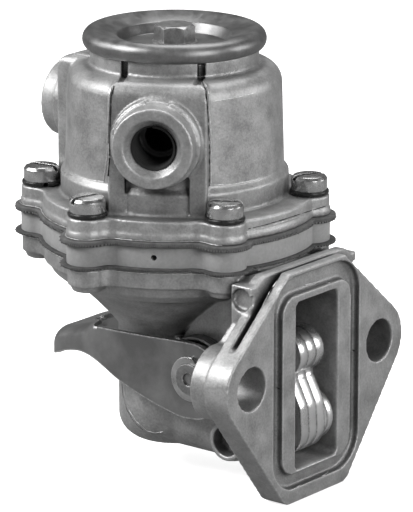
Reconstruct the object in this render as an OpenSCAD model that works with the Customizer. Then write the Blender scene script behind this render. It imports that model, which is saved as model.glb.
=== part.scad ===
// Mechanical fuel pump with a laminated rocker, twin diaphragms and a hand primer.
// Millimetres. The origin is the middle of the mounting face, halfway between the
// two bolt holes. +X points out of the mounting face, +Z up along the pump axis.

/* [Mounting flange] */
// Distance between the two bolt holes
bolt_spacing = 50; // [47:0.5:54]
// Diameter of the bolt holes
bolt_hole_d = 10.4; // [8:0.1:11]
// Thickness of the whole flange
flange_t = 6.5; // [5.5:0.1:8]
// Thickness of the plate at the mounting face, in front of the groove
flange_lip_t = 2.5; // [2:0.1:3]
// Width of the groove behind the plate
undercut_w = 1.4; // [0.8:0.1:1.8]
// Depth of the groove behind the plate
undercut_depth = 2.2; // [1:0.1:3]
// Radius of the rounded tips round the bolt holes
flange_tip_r = 9.4; // [8.6:0.1:10]
// Height of the flange above the bolt holes
flange_up = 24.5; // [23:0.1:25]
// Depth of the flange below the bolt holes
flange_down = 32.2; // [31:0.1:36]
// Width of the plate's level top edge
flange_crest_w = 23; // [20:0.5:28]
// Width of the block behind the plate
flange_top_w = 38.8; // [37:0.1:39.4]
// Width of the lower edge of the flange
flange_low_w = 29; // [26:0.1:34]
// Radius of the two lower corners of the flange
flange_low_r = 5; // [3:0.1:7]
// Radius of the round boss behind each bolt hole
bolt_boss_r = 9; // [7.5:0.1:9.3]
// How far each boss reaches back from the mounting face
bolt_boss_reach = 11.2; // [10.6:0.1:14]
// Distance of the flat webs under the ears from the middle
web_half_w = 20.6; // [20:0.1:21]
// Diameter of the sunk ejector mark in each web
web_mark_d = 5.5; // [4:0.1:6]
// Width of the opening for the rocker
opening_w = 16.4; // [15:0.1:17]
// Height of the opening above the bolt holes
opening_up = 16.9; // [15:0.1:17.4]
// Depth of the opening below the bolt holes
opening_down = 24.3; // [24:0.1:25]
// Corner radius of the opening
opening_r = 1.6; // [0.5:0.1:3]
// Land between the opening and the seal groove, at the sides
groove_land = 5.1; // [4:0.1:5.6]
// Width of the seal groove
groove_w = 3.4; // [2:0.1:3.8]
// Depth of the seal groove
groove_depth = 1.7; // [1:0.1:2.5]

/* [Lower housing] */
// Distance from the mounting face to the pump axis
axis_dist = 42.85; // [42:0.05:44]
// Half width of the rocker box, outside
box_half_w = 11; // [10.6:0.1:11.4]
// Level of the bottom of the rocker box
box_floor_z = -25.5; // [-27:0.1:-25.4]
// Radius of the long lower corners of the rocker box
box_corner_r = 6; // [3:0.1:6.5]
// Radius of the round closed end of the rocker box
barrel_r = 13.7; // [13.2:0.1:14]
// Wall under the rocker
floor_wall = 1.4; // [1.2:0.1:1.6]
// Level of the underside of the lower diaphragm flange
flange_under_z = 19.6; // [19.2:0.1:20.4]
// Thickness of the lower diaphragm flange
lower_flange_t = 4.6; // [4:0.1:5.4]
// Radius of the spring chamber at its rim
chamber_r = 26.8; // [25.5:0.1:27]
// Level of the floor of the spring chamber
chamber_floor_z = 9.6; // [9.2:0.1:10]

/* [Diaphragm joint] */
// Radius of the circle through the six cover screws
screw_circle_r = 32.4; // [32:0.1:33]
// Radius of the six ears
ear_r = 4.85; // [4.5:0.05:5.2]
// Radius of the joint between the ears
rim_r = 31.6; // [31:0.1:32]
// Radius of the joint on the side of the mounting flange
rim_wide_r = 34; // [33:0.1:34.5]
// Radius of the hollows between ears and rim
ear_blend_r = 4; // [2:0.1:6]
// How far the two diaphragms stick out past the castings
fabric_proud = 1.1; // [0.3:0.1:1.6]
// Thickness of the lower diaphragm
lower_fabric_t = 0.7; // [0.5:0.1:1.2]
// Thickness of the spacer ring
spacer_t = 5; // [4:0.1:7]
// Thickness of the upper diaphragm
upper_fabric_t = 1.3; // [0.8:0.1:1.8]
// Diameter of the tell-tale hole in the spacer ring
telltale_d = 1.4; // [0.8:0.1:2.5]

/* [Cover screws] */
// Thread diameter of the cover screws
screw_d = 5; // [4:0.1:5]
// Diameter of the round slotted heads
screw_head_d = 8.6; // [8:0.1:9.4]
// Height of the slotted heads
screw_head_h = 3.6; // [3:0.1:4.5]
// Width of the slots
screw_slot_w = 1.3; // [0.8:0.1:1.8]
// Depth of the slots
screw_slot_depth = 1.5; // [0.8:0.1:2]
// Thickness of the spring washers
washer_t = 1.15; // [0.8:0.05:1.6]
// Outer diameter of the spring washers
washer_d = 9.5; // [8.8:0.1:10]

/* [Upper housing] */
// Thickness of the upper diaphragm flange
upper_flange_t = 4.8; // [4:0.1:6]
// Radius of the round body at its top
body_r = 25.6; // [25:0.1:26]
// Outward draft of the body down to its skirt
body_draft = 0.6; // [0.2:0.1:0.8]
// Height of the body's shoulder above the flange
shoulder_h = 31; // [30:0.1:32]
// Radius of the rounded shoulder
shoulder_r = 4.5; // [3:0.1:5]
// Radius of the neck under the cap
neck_r = 20.1; // [19.8:0.1:20.4]
// Height of the neck's top above the flange
neck_h = 34.4; // [34:0.1:35.5]
// Height of the lip round the cap's seal
neck_lip_h = 0.7; // [0.4:0.1:0.8]
// Thickness of the lip round the cap's seal
neck_lip_t = 1.2; // [0.9:0.1:1.4]
// Height of the skirt above the flange
skirt_h = 6.4; // [5:0.1:7]
// How far the skirt stands out
skirt_out = 1.1; // [0.5:0.1:1.5]
// Half width of the raised panels round the ports
panel_half_w = 11.6; // [11.2:0.1:12]
// Distance from the pump axis to the panel faces
panel_reach = 26.9; // [26.4:0.1:27.6]

/* [Ports] */
// Height of the port centres above the flange
port_h = 17.8; // [17:0.1:18.5]
// Distance from the pump axis to the port faces
port_reach = 34; // [32:0.1:36]
// Outer radius of the port bosses at their faces
port_face_r = 9.5; // [9:0.1:10]
// Radius of the collar behind each boss
port_collar_r = 10.6; // [10.2:0.1:11]
// Diameter of the tapped port holes
port_bore_d = 10.4; // [8:0.1:10.6]
// Diameter of the countersink at the port mouths
port_mouth_d = 14; // [12:0.1:15]
// Depth of the countersink
port_mouth_depth = 2; // [1:0.1:2.5]
// Length of the tapped part of the port holes
port_thread_len = 11; // [9:0.5:12]
// Diameter of the passage behind the tapped part
port_passage_d = 7; // [5:0.1:8]

/* [Top cap] */
// Outer radius of the pressed cap
cap_r = 21.9; // [21.7:0.1:22.2]
// Sheet thickness of the cap
cap_t = 0.9; // [0.7:0.05:1]
// Radius of the rolled rim, outside
cap_roll_r = 2.6; // [2.4:0.05:2.7]
// Radius of the flat middle of the cap
cap_dish_r = 12.4; // [11:0.1:13]
// Height over the flats-to-top of the cap bolt's head
bolt_head_h = 4; // [3:0.1:5]
// Width across flats of the cap bolt's head
bolt_head_af = 8.5; // [8:0.1:10]
// Thread diameter of the cap bolt
bolt_d = 5; // [4:0.1:5.4]

/* [Rocker] */
// Distance from the mounting face to the rocker pin
pivot_x = 17.2; // [17:0.1:17.6]
// Level of the rocker pin
pivot_z = -19.3; // [-19.5:0.05:-19.2]
// Diameter of the rocker pin
pin_d = 5.5; // [5:0.1:5.6]
// Diameter of the pin bores as seen from outside
pin_bore_d = 7.3; // [6.6:0.1:7.6]
// Radius of the hub of the rocker plates
hub_r = 4.5; // [4.3:0.05:4.6]
// Thickness of the three tall rocker plates
plate_t = 3.1; // [2.9:0.05:3.2]
// Thickness of the short plate beside them
pad_t = 2.2; // [1.8:0.1:2.4]
// How far the short plate stands forward of the others
plate_step = 0.8; // [0.4:0.1:0.9]

/* [Pump rod] */
// Diameter of the rod in its guide
rod_d = 6; // [5:0.1:6.4]
// Diameter of the rod's thin neck between the rocker plates
rod_neck_d = 4.1; // [3.4:0.1:4.1]
// Radius of the diaphragm plates
disc_r = 19; // [16:0.1:21]
// Diameter of the wire of the main spring
spring_wire = 1.8; // [1.2:0.1:2]
// Mean radius of the main spring
spring_r = 11; // [9.5:0.1:12]

/* [Hand primer] */
// Distance from the mounting face to the primer shaft
primer_x = 24.6; // [24.3:0.1:25.2]
// Level of the primer shaft
primer_z = -4.2; // [-4.4:0.1:-4]
// Diameter of the primer shaft
primer_shaft_d = 7.6; // [6.5:0.1:7.8]
// Inner half width between the lever's arms
lever_half_w = 15.2; // [15:0.1:15.5]
// Sheet thickness of the lever
lever_t = 1.3; // [1:0.1:1.6]
// Distance from the mounting face to the lever's tip
lever_tip_x = 74.5; // [71:0.1:75.5]
// Radius of the round end of each arm
lever_end_r = 9.3; // [8.8:0.1:9.4]

/* [Valves] */
// Distance of the two valves from the pump axis
valve_offset = 11; // [10.4:0.1:11.4]
// Radius of the valve pockets
valve_pocket_r = 8; // [7.6:0.1:8.2]
// Radius of the valve discs
valve_disc_r = 5.6; // [5:0.1:5.8]
// Lift of the valve discs
valve_lift = 1.2; // [0.8:0.1:1.4]

/* [Hidden] */
$fn = 72;
EPS = 0.01;
run_gap = 0.05;
seat_gap = 0.05;
fit_gap = 0.03;
// How far a hollow cuts into the arcs beside it, so that they cross and don't just touch
arc_bite = 0.03;
EARS = [30, 90, 150, 210, 270, 330];
front_port_a = -60;
rear_port_a = 180;

lower_top_z = flange_under_z + lower_flange_t;
spacer_z = lower_top_z + lower_fabric_t;
upper_fabric_z = spacer_z + spacer_t;
upper_z = upper_fabric_z + upper_fabric_t;
deck_z = upper_z + upper_flange_t;
skirt_z = deck_z + skirt_h;
shoulder_z = deck_z + shoulder_h;
neck_z = deck_z + neck_h;
port_z = deck_z + port_h;
cavity_floor_z = box_floor_z + floor_wall;
// Length of the pin's seat in each side wall
pin_seat_l = 1.2;
// Distance from the mounting face to the back of the block and its webs
web_back_x = 9.5;

// Shared frames and shapes

module at_axis(z = 0) {
  translate([-axis_dist, 0, z]) children();
}

// Draws a profile given as (y, z) and gives it the length len from x = from towards +X
module along_x(from, len) {
  translate([from, 0, 0]) rotate([90, 0, 90]) linear_extrude(len) children();
}

// Draws a profile given as (x, z) and gives it the full width w, centred on y = 0
module along_y(w) {
  rotate([90, 0, 0]) linear_extrude(w, center = true) children();
}

module rounded_rect(x0, y0, x1, y1, r) {
  translate([x0 + r, y0]) square([x1 - x0 - 2 * r, y1 - y0]);
  translate([x0, y0 + r]) square([x1 - x0, y1 - y0 - 2 * r]);
  for (x = [x0 + r, x1 - r], y = [y0 + r, y1 - r]) translate([x, y]) circle(r);
}

// Outline of the bolted joint: a round rim, six ears and hollows of true arcs between them.
// The side towards the mounting flange is filled out to a wider rim.
module joint_outline(rim, ear, wide, blend = ear_blend_r) {
  out = rim + blend;
  side = ear + blend;
  turn = acos((out * out + screw_circle_r * screw_circle_r - side * side)
              / (2 * out * screw_circle_r));
  difference() {
    union() {
      circle(rim);
      for (a = EARS) rotate(a) {
        translate([screw_circle_r, 0]) circle(ear);
        polygon([[0, 0], out * [cos(turn), -sin(turn)], [screw_circle_r, 0],
                 out * [cos(turn), sin(turn)]]);
      }
    }
    for (a = EARS, s = [-1, 1]) rotate(a + s * turn) translate([out, 0]) circle(blend + arc_bite);
  }
  intersection() {
    circle(wide);
    polygon([[0, 0], 2 * wide * [cos(30), -sin(30)], 2 * wide * [cos(30), sin(30)]]);
  }
}

module screw_holes(z, h, d) {
  for (a = EARS) at_axis(z) rotate(a) translate([screw_circle_r, 0, 0]) cylinder(d = d, h = h);
}

// A flat ring
module ring(r_out, r_in, h) {
  difference() {
    cylinder(r = r_out, h = h);
    translate([0, 0, -1]) cylinder(r = r_in, h = h + 2);
  }
}

// A coil spring of round wire, swept as one closed skin round the z axis
module coil(r, wire, h, turns, steps = 16, sides = 6) {
  n = round(turns * steps);
  rise = (h - wire) / n;
  ring_at = function (i, k)
    let (a = 360 * i / steps, b = 360 * k / sides, q = r + wire / 2 * cos(b))
    [q * cos(a), q * sin(a), wire / 2 + rise * i + wire / 2 * sin(b)];
  points = [for (i = [0:n], k = [0:sides - 1]) ring_at(i, k)];
  skin = [for (i = [0:n - 1], k = [0:sides - 1])
    let (m = (k + 1) % sides)
    each [[i * sides + k, i * sides + m, (i + 1) * sides + m],
          [i * sides + k, (i + 1) * sides + m, (i + 1) * sides + k]]];
  ends = [[for (k = [sides - 1:-1:0]) k], [for (k = [0:sides - 1]) n * sides + k]];
  polyhedron(points, concat(skin, ends), convexity = 10);
}

// Lower housing

module flange_outline() {
  crest_r = 1;
  hull() {
    for (s = [-1, 1]) {
      translate([s * bolt_spacing / 2, 0]) circle(flange_tip_r);
      translate([s * (flange_low_w / 2 - flange_low_r), flange_low_r - flange_down])
        circle(flange_low_r);
      translate([s * (flange_crest_w / 2 - crest_r), flange_up - crest_r]) circle(crest_r);
    }
  }
}

// Groove between the plate and the block, above the bolt bosses
module flange_undercut() {
  along_x(-flange_lip_t - undercut_w, undercut_w) difference() {
    translate([-bolt_spacing, bolt_boss_r + 0.3]) square([2 * bolt_spacing, flange_up]);
    offset(delta = -undercut_depth) flange_outline();
  }
}

// Closed loop round the opening, out to a distance from the opening's sides
module opening_loop(side, above, below, r) {
  half = opening_w / 2 + side;
  rounded_rect(-half, -opening_down - below, half, opening_up + above, r);
}

module seal_groove() {
  along_x(-groove_depth, groove_depth + 1) difference() {
    opening_loop(groove_land + groove_w, 6.4, 4.2, 8.5);
    opening_loop(groove_land, 1.9, 0.6, 4.6);
  }
}

// The body under the diaphragm flange: a dish that narrows to the barrel
module lower_bowl() {
  under = flange_under_z;
  at_axis() rotate_extrude() polygon([
    [0, box_floor_z + box_corner_r], [barrel_r, box_floor_z + box_corner_r],
    [barrel_r, 3.2], [15.8, 5.8], [19.7, 9.9], [24.4, 14.4], [27.2, 15.2],
    [29.6, 17.2], [rim_r - 0.8, under], [rim_r - 0.8, under + 1], [0, under + 1]
  ]);
  at_axis() rotate_extrude() {
    translate([0, box_floor_z]) square([barrel_r - box_corner_r, box_corner_r + 1]);
    intersection() {
      translate([barrel_r - box_corner_r, box_floor_z + box_corner_r]) circle(box_corner_r);
      translate([0, box_floor_z - 1]) square([barrel_r + 1, box_corner_r + 2]);
    }
  }
}

module box_section(top) {
  r = box_corner_r;
  translate([-box_half_w, box_floor_z + r]) square([2 * box_half_w, top - box_floor_z - r]);
  translate([-box_half_w + r, box_floor_z]) square([2 * (box_half_w - r), r + 1]);
  for (s = [-1, 1]) translate([s * (box_half_w - r), box_floor_z + r]) circle(r);
}

// Flat web from the block's side down to the boss behind the bolt hole
module ear_web(s) {
  front = -flange_lip_t - undercut_w;
  back = -web_back_x;
  inner = 15;
  break_z = 13.3;
  low_z = bolt_boss_r - 1.5;
  top_z = flange_under_z + 3;
  y0 = s > 0 ? inner : -web_half_w;
  low_y0 = s > 0 ? inner : -bolt_spacing / 2;
  translate([back, y0, break_z]) cube([front - back, web_half_w - inner, top_z - break_z]);
  hull() {
    translate([back, y0, break_z]) cube([front - back, web_half_w - inner, 0.1]);
    translate([-bolt_boss_reach, low_y0, low_z])
      cube([front + bolt_boss_reach, bolt_spacing / 2 - inner, 0.1]);
  }
}

// Sunk round mark of the ejector in a web
module web_mark(s) {
  translate([-6.7, s * web_half_w, flange_under_z - 0.4]) rotate([-s * 90, 0, 0])
    translate([0, 0, -1.5]) cylinder(d = web_mark_d, h = 3);
}

module lower_housing_body() {
  roof_z = 15.1;
  at_axis(flange_under_z) linear_extrude(lower_flange_t) joint_outline(rim_r, ear_r, rim_wide_r);
  for (a = EARS) at_axis(flange_under_z - 1.6) rotate(a) translate([screw_circle_r, 0, 0])
    cylinder(r1 = ear_r - 1.2, r2 = ear_r - 0.3, h = 2);
  lower_bowl();
  along_x(-axis_dist, axis_dist - flange_t / 2) box_section(3);
  along_y(2 * box_half_w) polygon([
    [-32.5, 2], [-30.7, 5.3], [-19.8, roof_z], [-10.6, flange_under_z + 0.4],
    [-flange_t / 2, flange_under_z + 0.4], [-flange_t / 2, 2]
  ]);
  along_x(-web_back_x, web_back_x - flange_lip_t)
    rounded_rect(-flange_top_w / 2 + 1.6, 9, flange_top_w / 2 - 1.6, flange_up - 1.3, 3);
  along_x(-flange_t, flange_t - flange_lip_t)
    rounded_rect(-flange_top_w / 2, 9, flange_top_w / 2, flange_up, 5);
  along_x(-flange_t, flange_t) flange_outline();
  for (s = [-1, 1]) {
    translate([-bolt_boss_reach, s * bolt_spacing / 2, 0]) rotate([0, 90, 0])
      cylinder(r = bolt_boss_r, h = bolt_boss_reach - 1);
    ear_web(s);
    translate([-pivot_x, s * (box_half_w - 1), pivot_z]) rotate([-s * 90, 0, 0])
      cylinder(r1 = pin_bore_d / 2 + 1.9, r2 = pin_bore_d / 2 + 1.1, h = 3);
  }
}

module lower_housing_hollow() {
  floor_in = cavity_floor_z;
  back = -axis_dist - barrel_r + 3;
  // Space for the rocker, open at the mounting face
  along_y(opening_w) polygon([
    [-flange_t, floor_in], [-flange_t, opening_up], [-14, opening_up], [-22, 9.4],
    [-29, 3], [-33, 0.6], [back, 0.6], [back, -16], [-axis_dist - 6, floor_in]
  ]);
  along_x(-flange_t - EPS, flange_t + 1) opening_loop(0, 0, 0, opening_r);
  // Chamber for the main spring
  at_axis() rotate_extrude() polygon([
    [0, chamber_floor_z], [14.2, chamber_floor_z], [19.5, 12.6], [23.6, 16.6],
    [chamber_r, 19.2], [chamber_r, lower_top_z + 1], [0, lower_top_z + 1]
  ]);
  // Guide of the rod, with a recess for its seal above it
  at_axis(-1) cylinder(d = rod_d + 2 * run_gap, h = chamber_floor_z + 2);
  at_axis(chamber_floor_z - 3) cylinder(d = rod_d + 5, h = 4);
  seal_groove();
  for (s = [-1, 1]) {
    translate([-bolt_boss_reach - 1, s * bolt_spacing / 2, 0]) rotate([0, 90, 0])
      cylinder(d = bolt_hole_d, h = bolt_boss_reach + 2);
    translate([-pivot_x, s * (opening_w / 2 + pin_seat_l), pivot_z]) rotate([-s * 90, 0, 0])
      cylinder(d = pin_bore_d, h = box_half_w);
    web_mark(s);
  }
  flange_undercut();
  translate([-pivot_x, 0, pivot_z]) rotate([90, 0, 0])
    cylinder(d = pin_d + 2 * fit_gap, h = 4 * box_half_w, center = true);
  translate([-primer_x, 0, primer_z]) rotate([90, 0, 0])
    cylinder(d = primer_shaft_d + 2 * run_gap, h = 4 * box_half_w, center = true);
  screw_holes(flange_under_z - 3, lower_flange_t + 4, screw_d);
}

module lower_housing() {
  color("silver") difference() {
    lower_housing_body();
    lower_housing_hollow();
  }
}

// Upper housing

// Everything of one port is drawn round the x axis and then turned to the port's angle
module at_port(a) {
  at_axis() rotate(a) children();
}

module round_body() {
  low = body_r + body_draft;
  at_axis() rotate_extrude() {
    polygon([
      [0, deck_z - 1], [low + skirt_out, deck_z - 1], [low + skirt_out, skirt_z - 1.4],
      [low, skirt_z], [body_r, shoulder_z - shoulder_r], [body_r - shoulder_r, shoulder_z - 0.2],
      [neck_r, shoulder_z + 0.3], [neck_r, neck_z + neck_lip_h],
      [neck_r - neck_lip_t, neck_z + neck_lip_h], [neck_r - neck_lip_t, neck_z], [0, neck_z]
    ]);
    translate([body_r - shoulder_r, shoulder_z - shoulder_r]) circle(shoulder_r);
  }
}

module port_panel(a) {
  round_r = 3.6;
  corner_r = 2.5;
  at_port(a) difference() {
    intersection() {
      along_x(8, panel_reach)
        rounded_rect(-panel_half_w, deck_z - 4, panel_half_w, shoulder_z + 0.4, corner_r);
      along_y(2 * panel_half_w) {
        translate([10, deck_z - 1]) square([panel_reach - 10, shoulder_z - round_r - deck_z + 1]);
        translate([10, deck_z]) square([panel_reach - round_r - 10, shoulder_z + 0.4 - deck_z]);
        translate([panel_reach - round_r, shoulder_z + 0.4 - round_r]) circle(round_r);
      }
    }
    // Recess between the two ribs under the boss
    translate([23.6, -7.6, deck_z + 0.4]) cube([10, 15.2, port_h - 5]);
  }
}

module port_boss(a) {
  collar_reach = panel_reach + 2.5;
  at_port(a) translate([0, 0, port_z]) rotate([0, 90, 0]) {
    difference() {
      translate([0, 0, 14]) cylinder(r = port_collar_r, h = collar_reach - 14);
      // Small flat on top of the collar
      translate([-port_collar_r - 2, -2.6, panel_reach + 0.6]) cube([3.2, 6.1, 4]);
    }
    translate([0, 0, 14]) cylinder(r1 = port_face_r + 1, r2 = port_face_r, h = port_reach - 14);
  }
}

module port_bore(a, inner) {
  mouth = port_reach - port_mouth_depth;
  at_port(a) translate([0, 0, port_z]) rotate([0, 90, 0]) {
    translate([0, 0, inner]) cylinder(d = port_passage_d, h = mouth - inner);
    translate([0, 0, mouth - port_thread_len]) cylinder(d = port_bore_d, h = port_thread_len + 1);
    translate([0, 0, mouth])
      cylinder(d1 = port_bore_d, d2 = port_mouth_d, h = port_mouth_depth);
    translate([0, 0, port_reach]) cylinder(d = port_mouth_d, h = 1);
  }
}

pocket_floor_z = deck_z + 1;
pocket_top_z = deck_z + 8;
filter_r = 0.845 * neck_r;
filter_floor_z = neck_z - 8.9;
column_r = 0.92 * bolt_d;
riser_r = 0.55 * valve_pocket_r;

module at_valve(a) {
  at_axis() rotate(a) translate([valve_offset, 0, 0]) children();
}

module upper_housing_hollow() {
  at_axis(upper_z - 1) cylinder(r = disc_r + 3, h = pocket_floor_z - upper_z + 1);
  for (a = [front_port_a, front_port_a + 180]) at_valve(a)
    translate([0, 0, deck_z]) cylinder(r = valve_pocket_r, h = pocket_top_z - deck_z);
  at_valve(front_port_a) translate([0, 0, pocket_top_z - 1])
    cylinder(r = riser_r, h = port_z - pocket_top_z + 1);
  at_valve(front_port_a + 180) translate([0, 0, pocket_top_z - 1])
    cylinder(r = riser_r, h = filter_floor_z - pocket_top_z + 2);
  port_bore(front_port_a, valve_offset - 1);
  port_bore(rear_port_a, filter_r - 4);
  at_port(rear_port_a) translate([filter_r - 1.5, 0, port_z])
    cylinder(r = 3.4, h = filter_floor_z - port_z + 1);
  at_axis(filter_floor_z) difference() {
    cylinder(r = filter_r, h = 20);
    cylinder(r = column_r, h = 20);
  }
  at_axis(port_z) cylinder(d = bolt_d, h = 20);
  screw_holes(upper_z - 1, upper_flange_t + 2, screw_d + 0.5);
  // Notches that part the neck above each panel
  for (a = [front_port_a, rear_port_a], s = [-1, 1]) at_port(a)
    translate([neck_r - 4, s * 9 - 0.8, shoulder_z - 0.4]) cube([8, 1.6, neck_z]);
}

module upper_housing() {
  color("gainsboro") difference() {
    union() {
      at_axis(upper_z) linear_extrude(upper_flange_t) joint_outline(rim_r, ear_r, rim_wide_r);
      // Lip below the parting line of the flange
      at_axis(upper_z) linear_extrude(1.4)
        joint_outline(rim_r + 0.3, ear_r + 0.3, rim_wide_r + 0.3);
      round_body();
      for (a = [front_port_a, rear_port_a]) {
        port_panel(a);
        port_boss(a);
      }
    }
    upper_housing_hollow();
  }
}

// Diaphragm joint

module spacer_ring() {
  color("ivory") difference() {
    at_axis(spacer_z) linear_extrude(spacer_t) difference() {
      joint_outline(rim_r + 0.2, ear_r + 0.2, rim_wide_r + 0.2);
      circle(chamber_r);
    }
    screw_holes(spacer_z - 1, spacer_t + 2, screw_d + 0.5);
    at_port(front_port_a) translate([0, 0, spacer_z + spacer_t / 2]) rotate([0, 90, 0])
      cylinder(d = telltale_d, h = 60);
  }
}

module fabric(z, t, hole_r) {
  color("dimgray") difference() {
    at_axis(z) linear_extrude(t)
      joint_outline(rim_r + fabric_proud, ear_r + fabric_proud + 0.5, rim_wide_r + fabric_proud);
    at_axis(z - 1) cylinder(r = hole_r, h = t + 2);
    screw_holes(z - 1, t + 2, screw_d + 0.5);
  }
}

module upper_diaphragm() {
  fabric(upper_fabric_z, upper_fabric_t, rod_d / 2 + fit_gap + 0.1);
}

module lower_diaphragm() {
  fabric(lower_top_z, lower_fabric_t, rod_d / 2 + fit_gap + 0.1);
}

// Cover screws

module cheese_head_screw() {
  tip_z = flange_under_z - 1;
  head_z = deck_z + washer_t;
  head_r = screw_head_d / 2;
  difference() {
    union() {
      translate([0, 0, tip_z]) cylinder(d = screw_d - 2 * fit_gap, h = head_z - tip_z + 1);
      translate([0, 0, head_z]) rotate_extrude() polygon([
        [0, 0], [head_r, 0], [head_r, screw_head_h - 0.9],
        [head_r - 0.5, screw_head_h - 0.25], [head_r - 1.4, screw_head_h], [0, screw_head_h]
      ]);
    }
    translate([-head_r - 1, -screw_slot_w / 2, head_z + screw_head_h - screw_slot_depth])
      cube([screw_head_d + 2, screw_slot_w, screw_slot_depth + 1]);
  }
}

module cover_screws() {
  slot_turn = [68, 100, -42, 8, 75, 35];
  color("lightgray") for (i = [0:5]) at_axis() rotate(EARS[i])
    translate([screw_circle_r, 0, 0]) rotate(slot_turn[i] - EARS[i]) cheese_head_screw();
}

module spring_washers() {
  gap_a = 14;
  color("black") for (a = EARS) at_axis(deck_z) rotate(a) translate([screw_circle_r, 0, 0])
    rotate(120) rotate_extrude(angle = 360 - gap_a) polygon([
      [screw_d / 2 + 0.1, 0], [washer_d / 2 - 0.25, 0], [washer_d / 2, 0.25],
      [washer_d / 2, washer_t - 0.25], [washer_d / 2 - 0.25, washer_t], [screw_d / 2 + 0.1, washer_t]
    ]);
}

// Top cap, its bolt and the gauze filter

cap_floor_z = neck_z + 0.05;
roll_mid_r = cap_r - cap_roll_r;
roll_z = neck_z + 2.5;
crest_z = roll_z + cap_roll_r;
step_r = cap_dish_r + 1.3;
step_z = crest_z - 1.7;
// How much further out the bends lie on the underside of the cap
bend_in = 0.7;

module top_cap() {
  curl_a = 50;
  floor_z = cap_floor_z + cap_t;
  color("slategray") at_axis() rotate_extrude() {
    // Rim that is rolled outwards and curls in under itself
    difference() {
      intersection() {
        translate([roll_mid_r, roll_z]) circle(cap_roll_r);
        translate([roll_mid_r, roll_z]) polygon(3 * cap_roll_r * [
          [0, 0], [cos(curl_a), -sin(curl_a)], [1, -0.5], [1, 1], [0, 1]
        ]);
      }
      translate([roll_mid_r, roll_z]) circle(cap_roll_r - cap_t);
    }
    polygon([
      [roll_mid_r, crest_z], [step_r, step_z], [cap_dish_r, floor_z], [bolt_d / 2 + 0.4, floor_z],
      [bolt_d / 2 + 0.4, cap_floor_z], [cap_dish_r + bend_in, cap_floor_z],
      [step_r + bend_in, step_z - cap_t], [roll_mid_r, crest_z - cap_t]
    ]);
  }
}

// Square ring that the cap presses on the neck, inside the lip
module cap_seal() {
  inner = filter_r + 0.15;
  outer = neck_r - neck_lip_t - seat_gap;
  slope = (crest_z - step_z) / (roll_mid_r - step_r - bend_in);
  under_z = crest_z - cap_t - seat_gap;
  color("black") at_axis() rotate_extrude() polygon([
    [inner, neck_z], [outer, neck_z], [outer, under_z - slope * (roll_mid_r - outer)],
    [inner, under_z - slope * (roll_mid_r - inner)]
  ]);
}

cap_washer_t = 0.8;
bolt_seat_z = cap_floor_z + cap_t + cap_washer_t;

module cap_washer() {
  color("dimgray") at_axis(cap_floor_z + cap_t) ring(bolt_head_af / 2 + 1.2, bolt_d / 2 + 0.2, cap_washer_t);
}

module cap_bolt() {
  corner_r = bolt_head_af / 2 / cos(30);
  color("darkgray") at_axis() {
    intersection() {
      translate([0, 0, bolt_seat_z]) rotate(-21.6) cylinder(r = corner_r, h = bolt_head_h, $fn = 6);
      translate([0, 0, bolt_seat_z]) rotate_extrude() polygon([
        [0, 0], [corner_r + 1, 0], [corner_r + 1, bolt_head_h - 1.3],
        [bolt_head_af / 2 - 0.2, bolt_head_h], [0, bolt_head_h]
      ]);
    }
    translate([0, 0, port_z + 2]) cylinder(d = bolt_d - 2 * fit_gap, h = bolt_seat_z - port_z - 1);
  }
}

module filter_gauze() {
  r = 0.79 * filter_r;
  z0 = filter_floor_z + seat_gap;
  z1 = cap_floor_z - 0.3;
  color("khaki") at_axis() rotate_extrude() {
    translate([r - 1, z0]) square([2.4, 1]);
    translate([r - 0.2, z0]) square([0.4, z1 - z0]);
    translate([r - 1, z1 - 1]) square([2.4, 1]);
  }
}

// Valves

cage_t = 1;
valve_seat_t = 1.4;
valve_disc_t = 1.1;

module valve_seat() {
  color("goldenrod") difference() {
    cylinder(r = valve_pocket_r - fit_gap, h = valve_seat_t);
    translate([0, 0, -1]) cylinder(r = 3.6, h = 4);
  }
}

module valve_disc() {
  color("saddlebrown") cylinder(r = valve_disc_r, h = valve_disc_t);
}

// Cup with windows in its floor and a tube that stops the disc; the open side faces the seat
module valve_cage(h) {
  stop_r = 2;
  color("goldenrod") difference() {
    union() {
      difference() {
        cylinder(r = valve_pocket_r - fit_gap, h = h);
        translate([0, 0, cage_t]) cylinder(r = valve_pocket_r - 1, h = h);
      }
      cylinder(r = stop_r, h = h - 2 * seat_gap - valve_disc_t - valve_lift);
    }
    for (a = [45:90:315]) rotate(a) translate([4.6, 0, -1]) cylinder(r = 1.5, h = cage_t + 2);
    translate([0, 0, -1]) cylinder(r = 1.2, h = h);
  }
}

module inlet_valve_seat() {
  at_valve(front_port_a + 180) translate([0, 0, pocket_top_z - valve_seat_t]) valve_seat();
}

inlet_disc_z = pocket_top_z - valve_seat_t - seat_gap - valve_disc_t;

module inlet_valve_disc() {
  at_valve(front_port_a + 180) translate([0, 0, inlet_disc_z]) valve_disc();
}

module inlet_valve_spring() {
  z = pocket_floor_z + 0.2 + cage_t;
  color("silver") at_valve(front_port_a + 180) translate([0, 0, z + seat_gap])
    coil(2.6, 0.5, inlet_disc_z - z - 2 * seat_gap, 3, 12, 5);
}

module inlet_valve_cage() {
  at_valve(front_port_a + 180) translate([0, 0, pocket_floor_z + 0.2])
    valve_cage(pocket_top_z - valve_seat_t - pocket_floor_z - 0.2);
}

module outlet_valve_seat() {
  at_valve(front_port_a) translate([0, 0, pocket_floor_z + 0.2]) valve_seat();
}

outlet_disc_z = pocket_floor_z + 0.2 + valve_seat_t + seat_gap;

module outlet_valve_disc() {
  at_valve(front_port_a) translate([0, 0, outlet_disc_z]) valve_disc();
}

module outlet_valve_spring() {
  z = outlet_disc_z + valve_disc_t + seat_gap;
  color("silver") at_valve(front_port_a) translate([0, 0, z])
    coil(2.6, 0.5, pocket_top_z - cage_t - z - seat_gap, 3, 12, 5);
}

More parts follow.
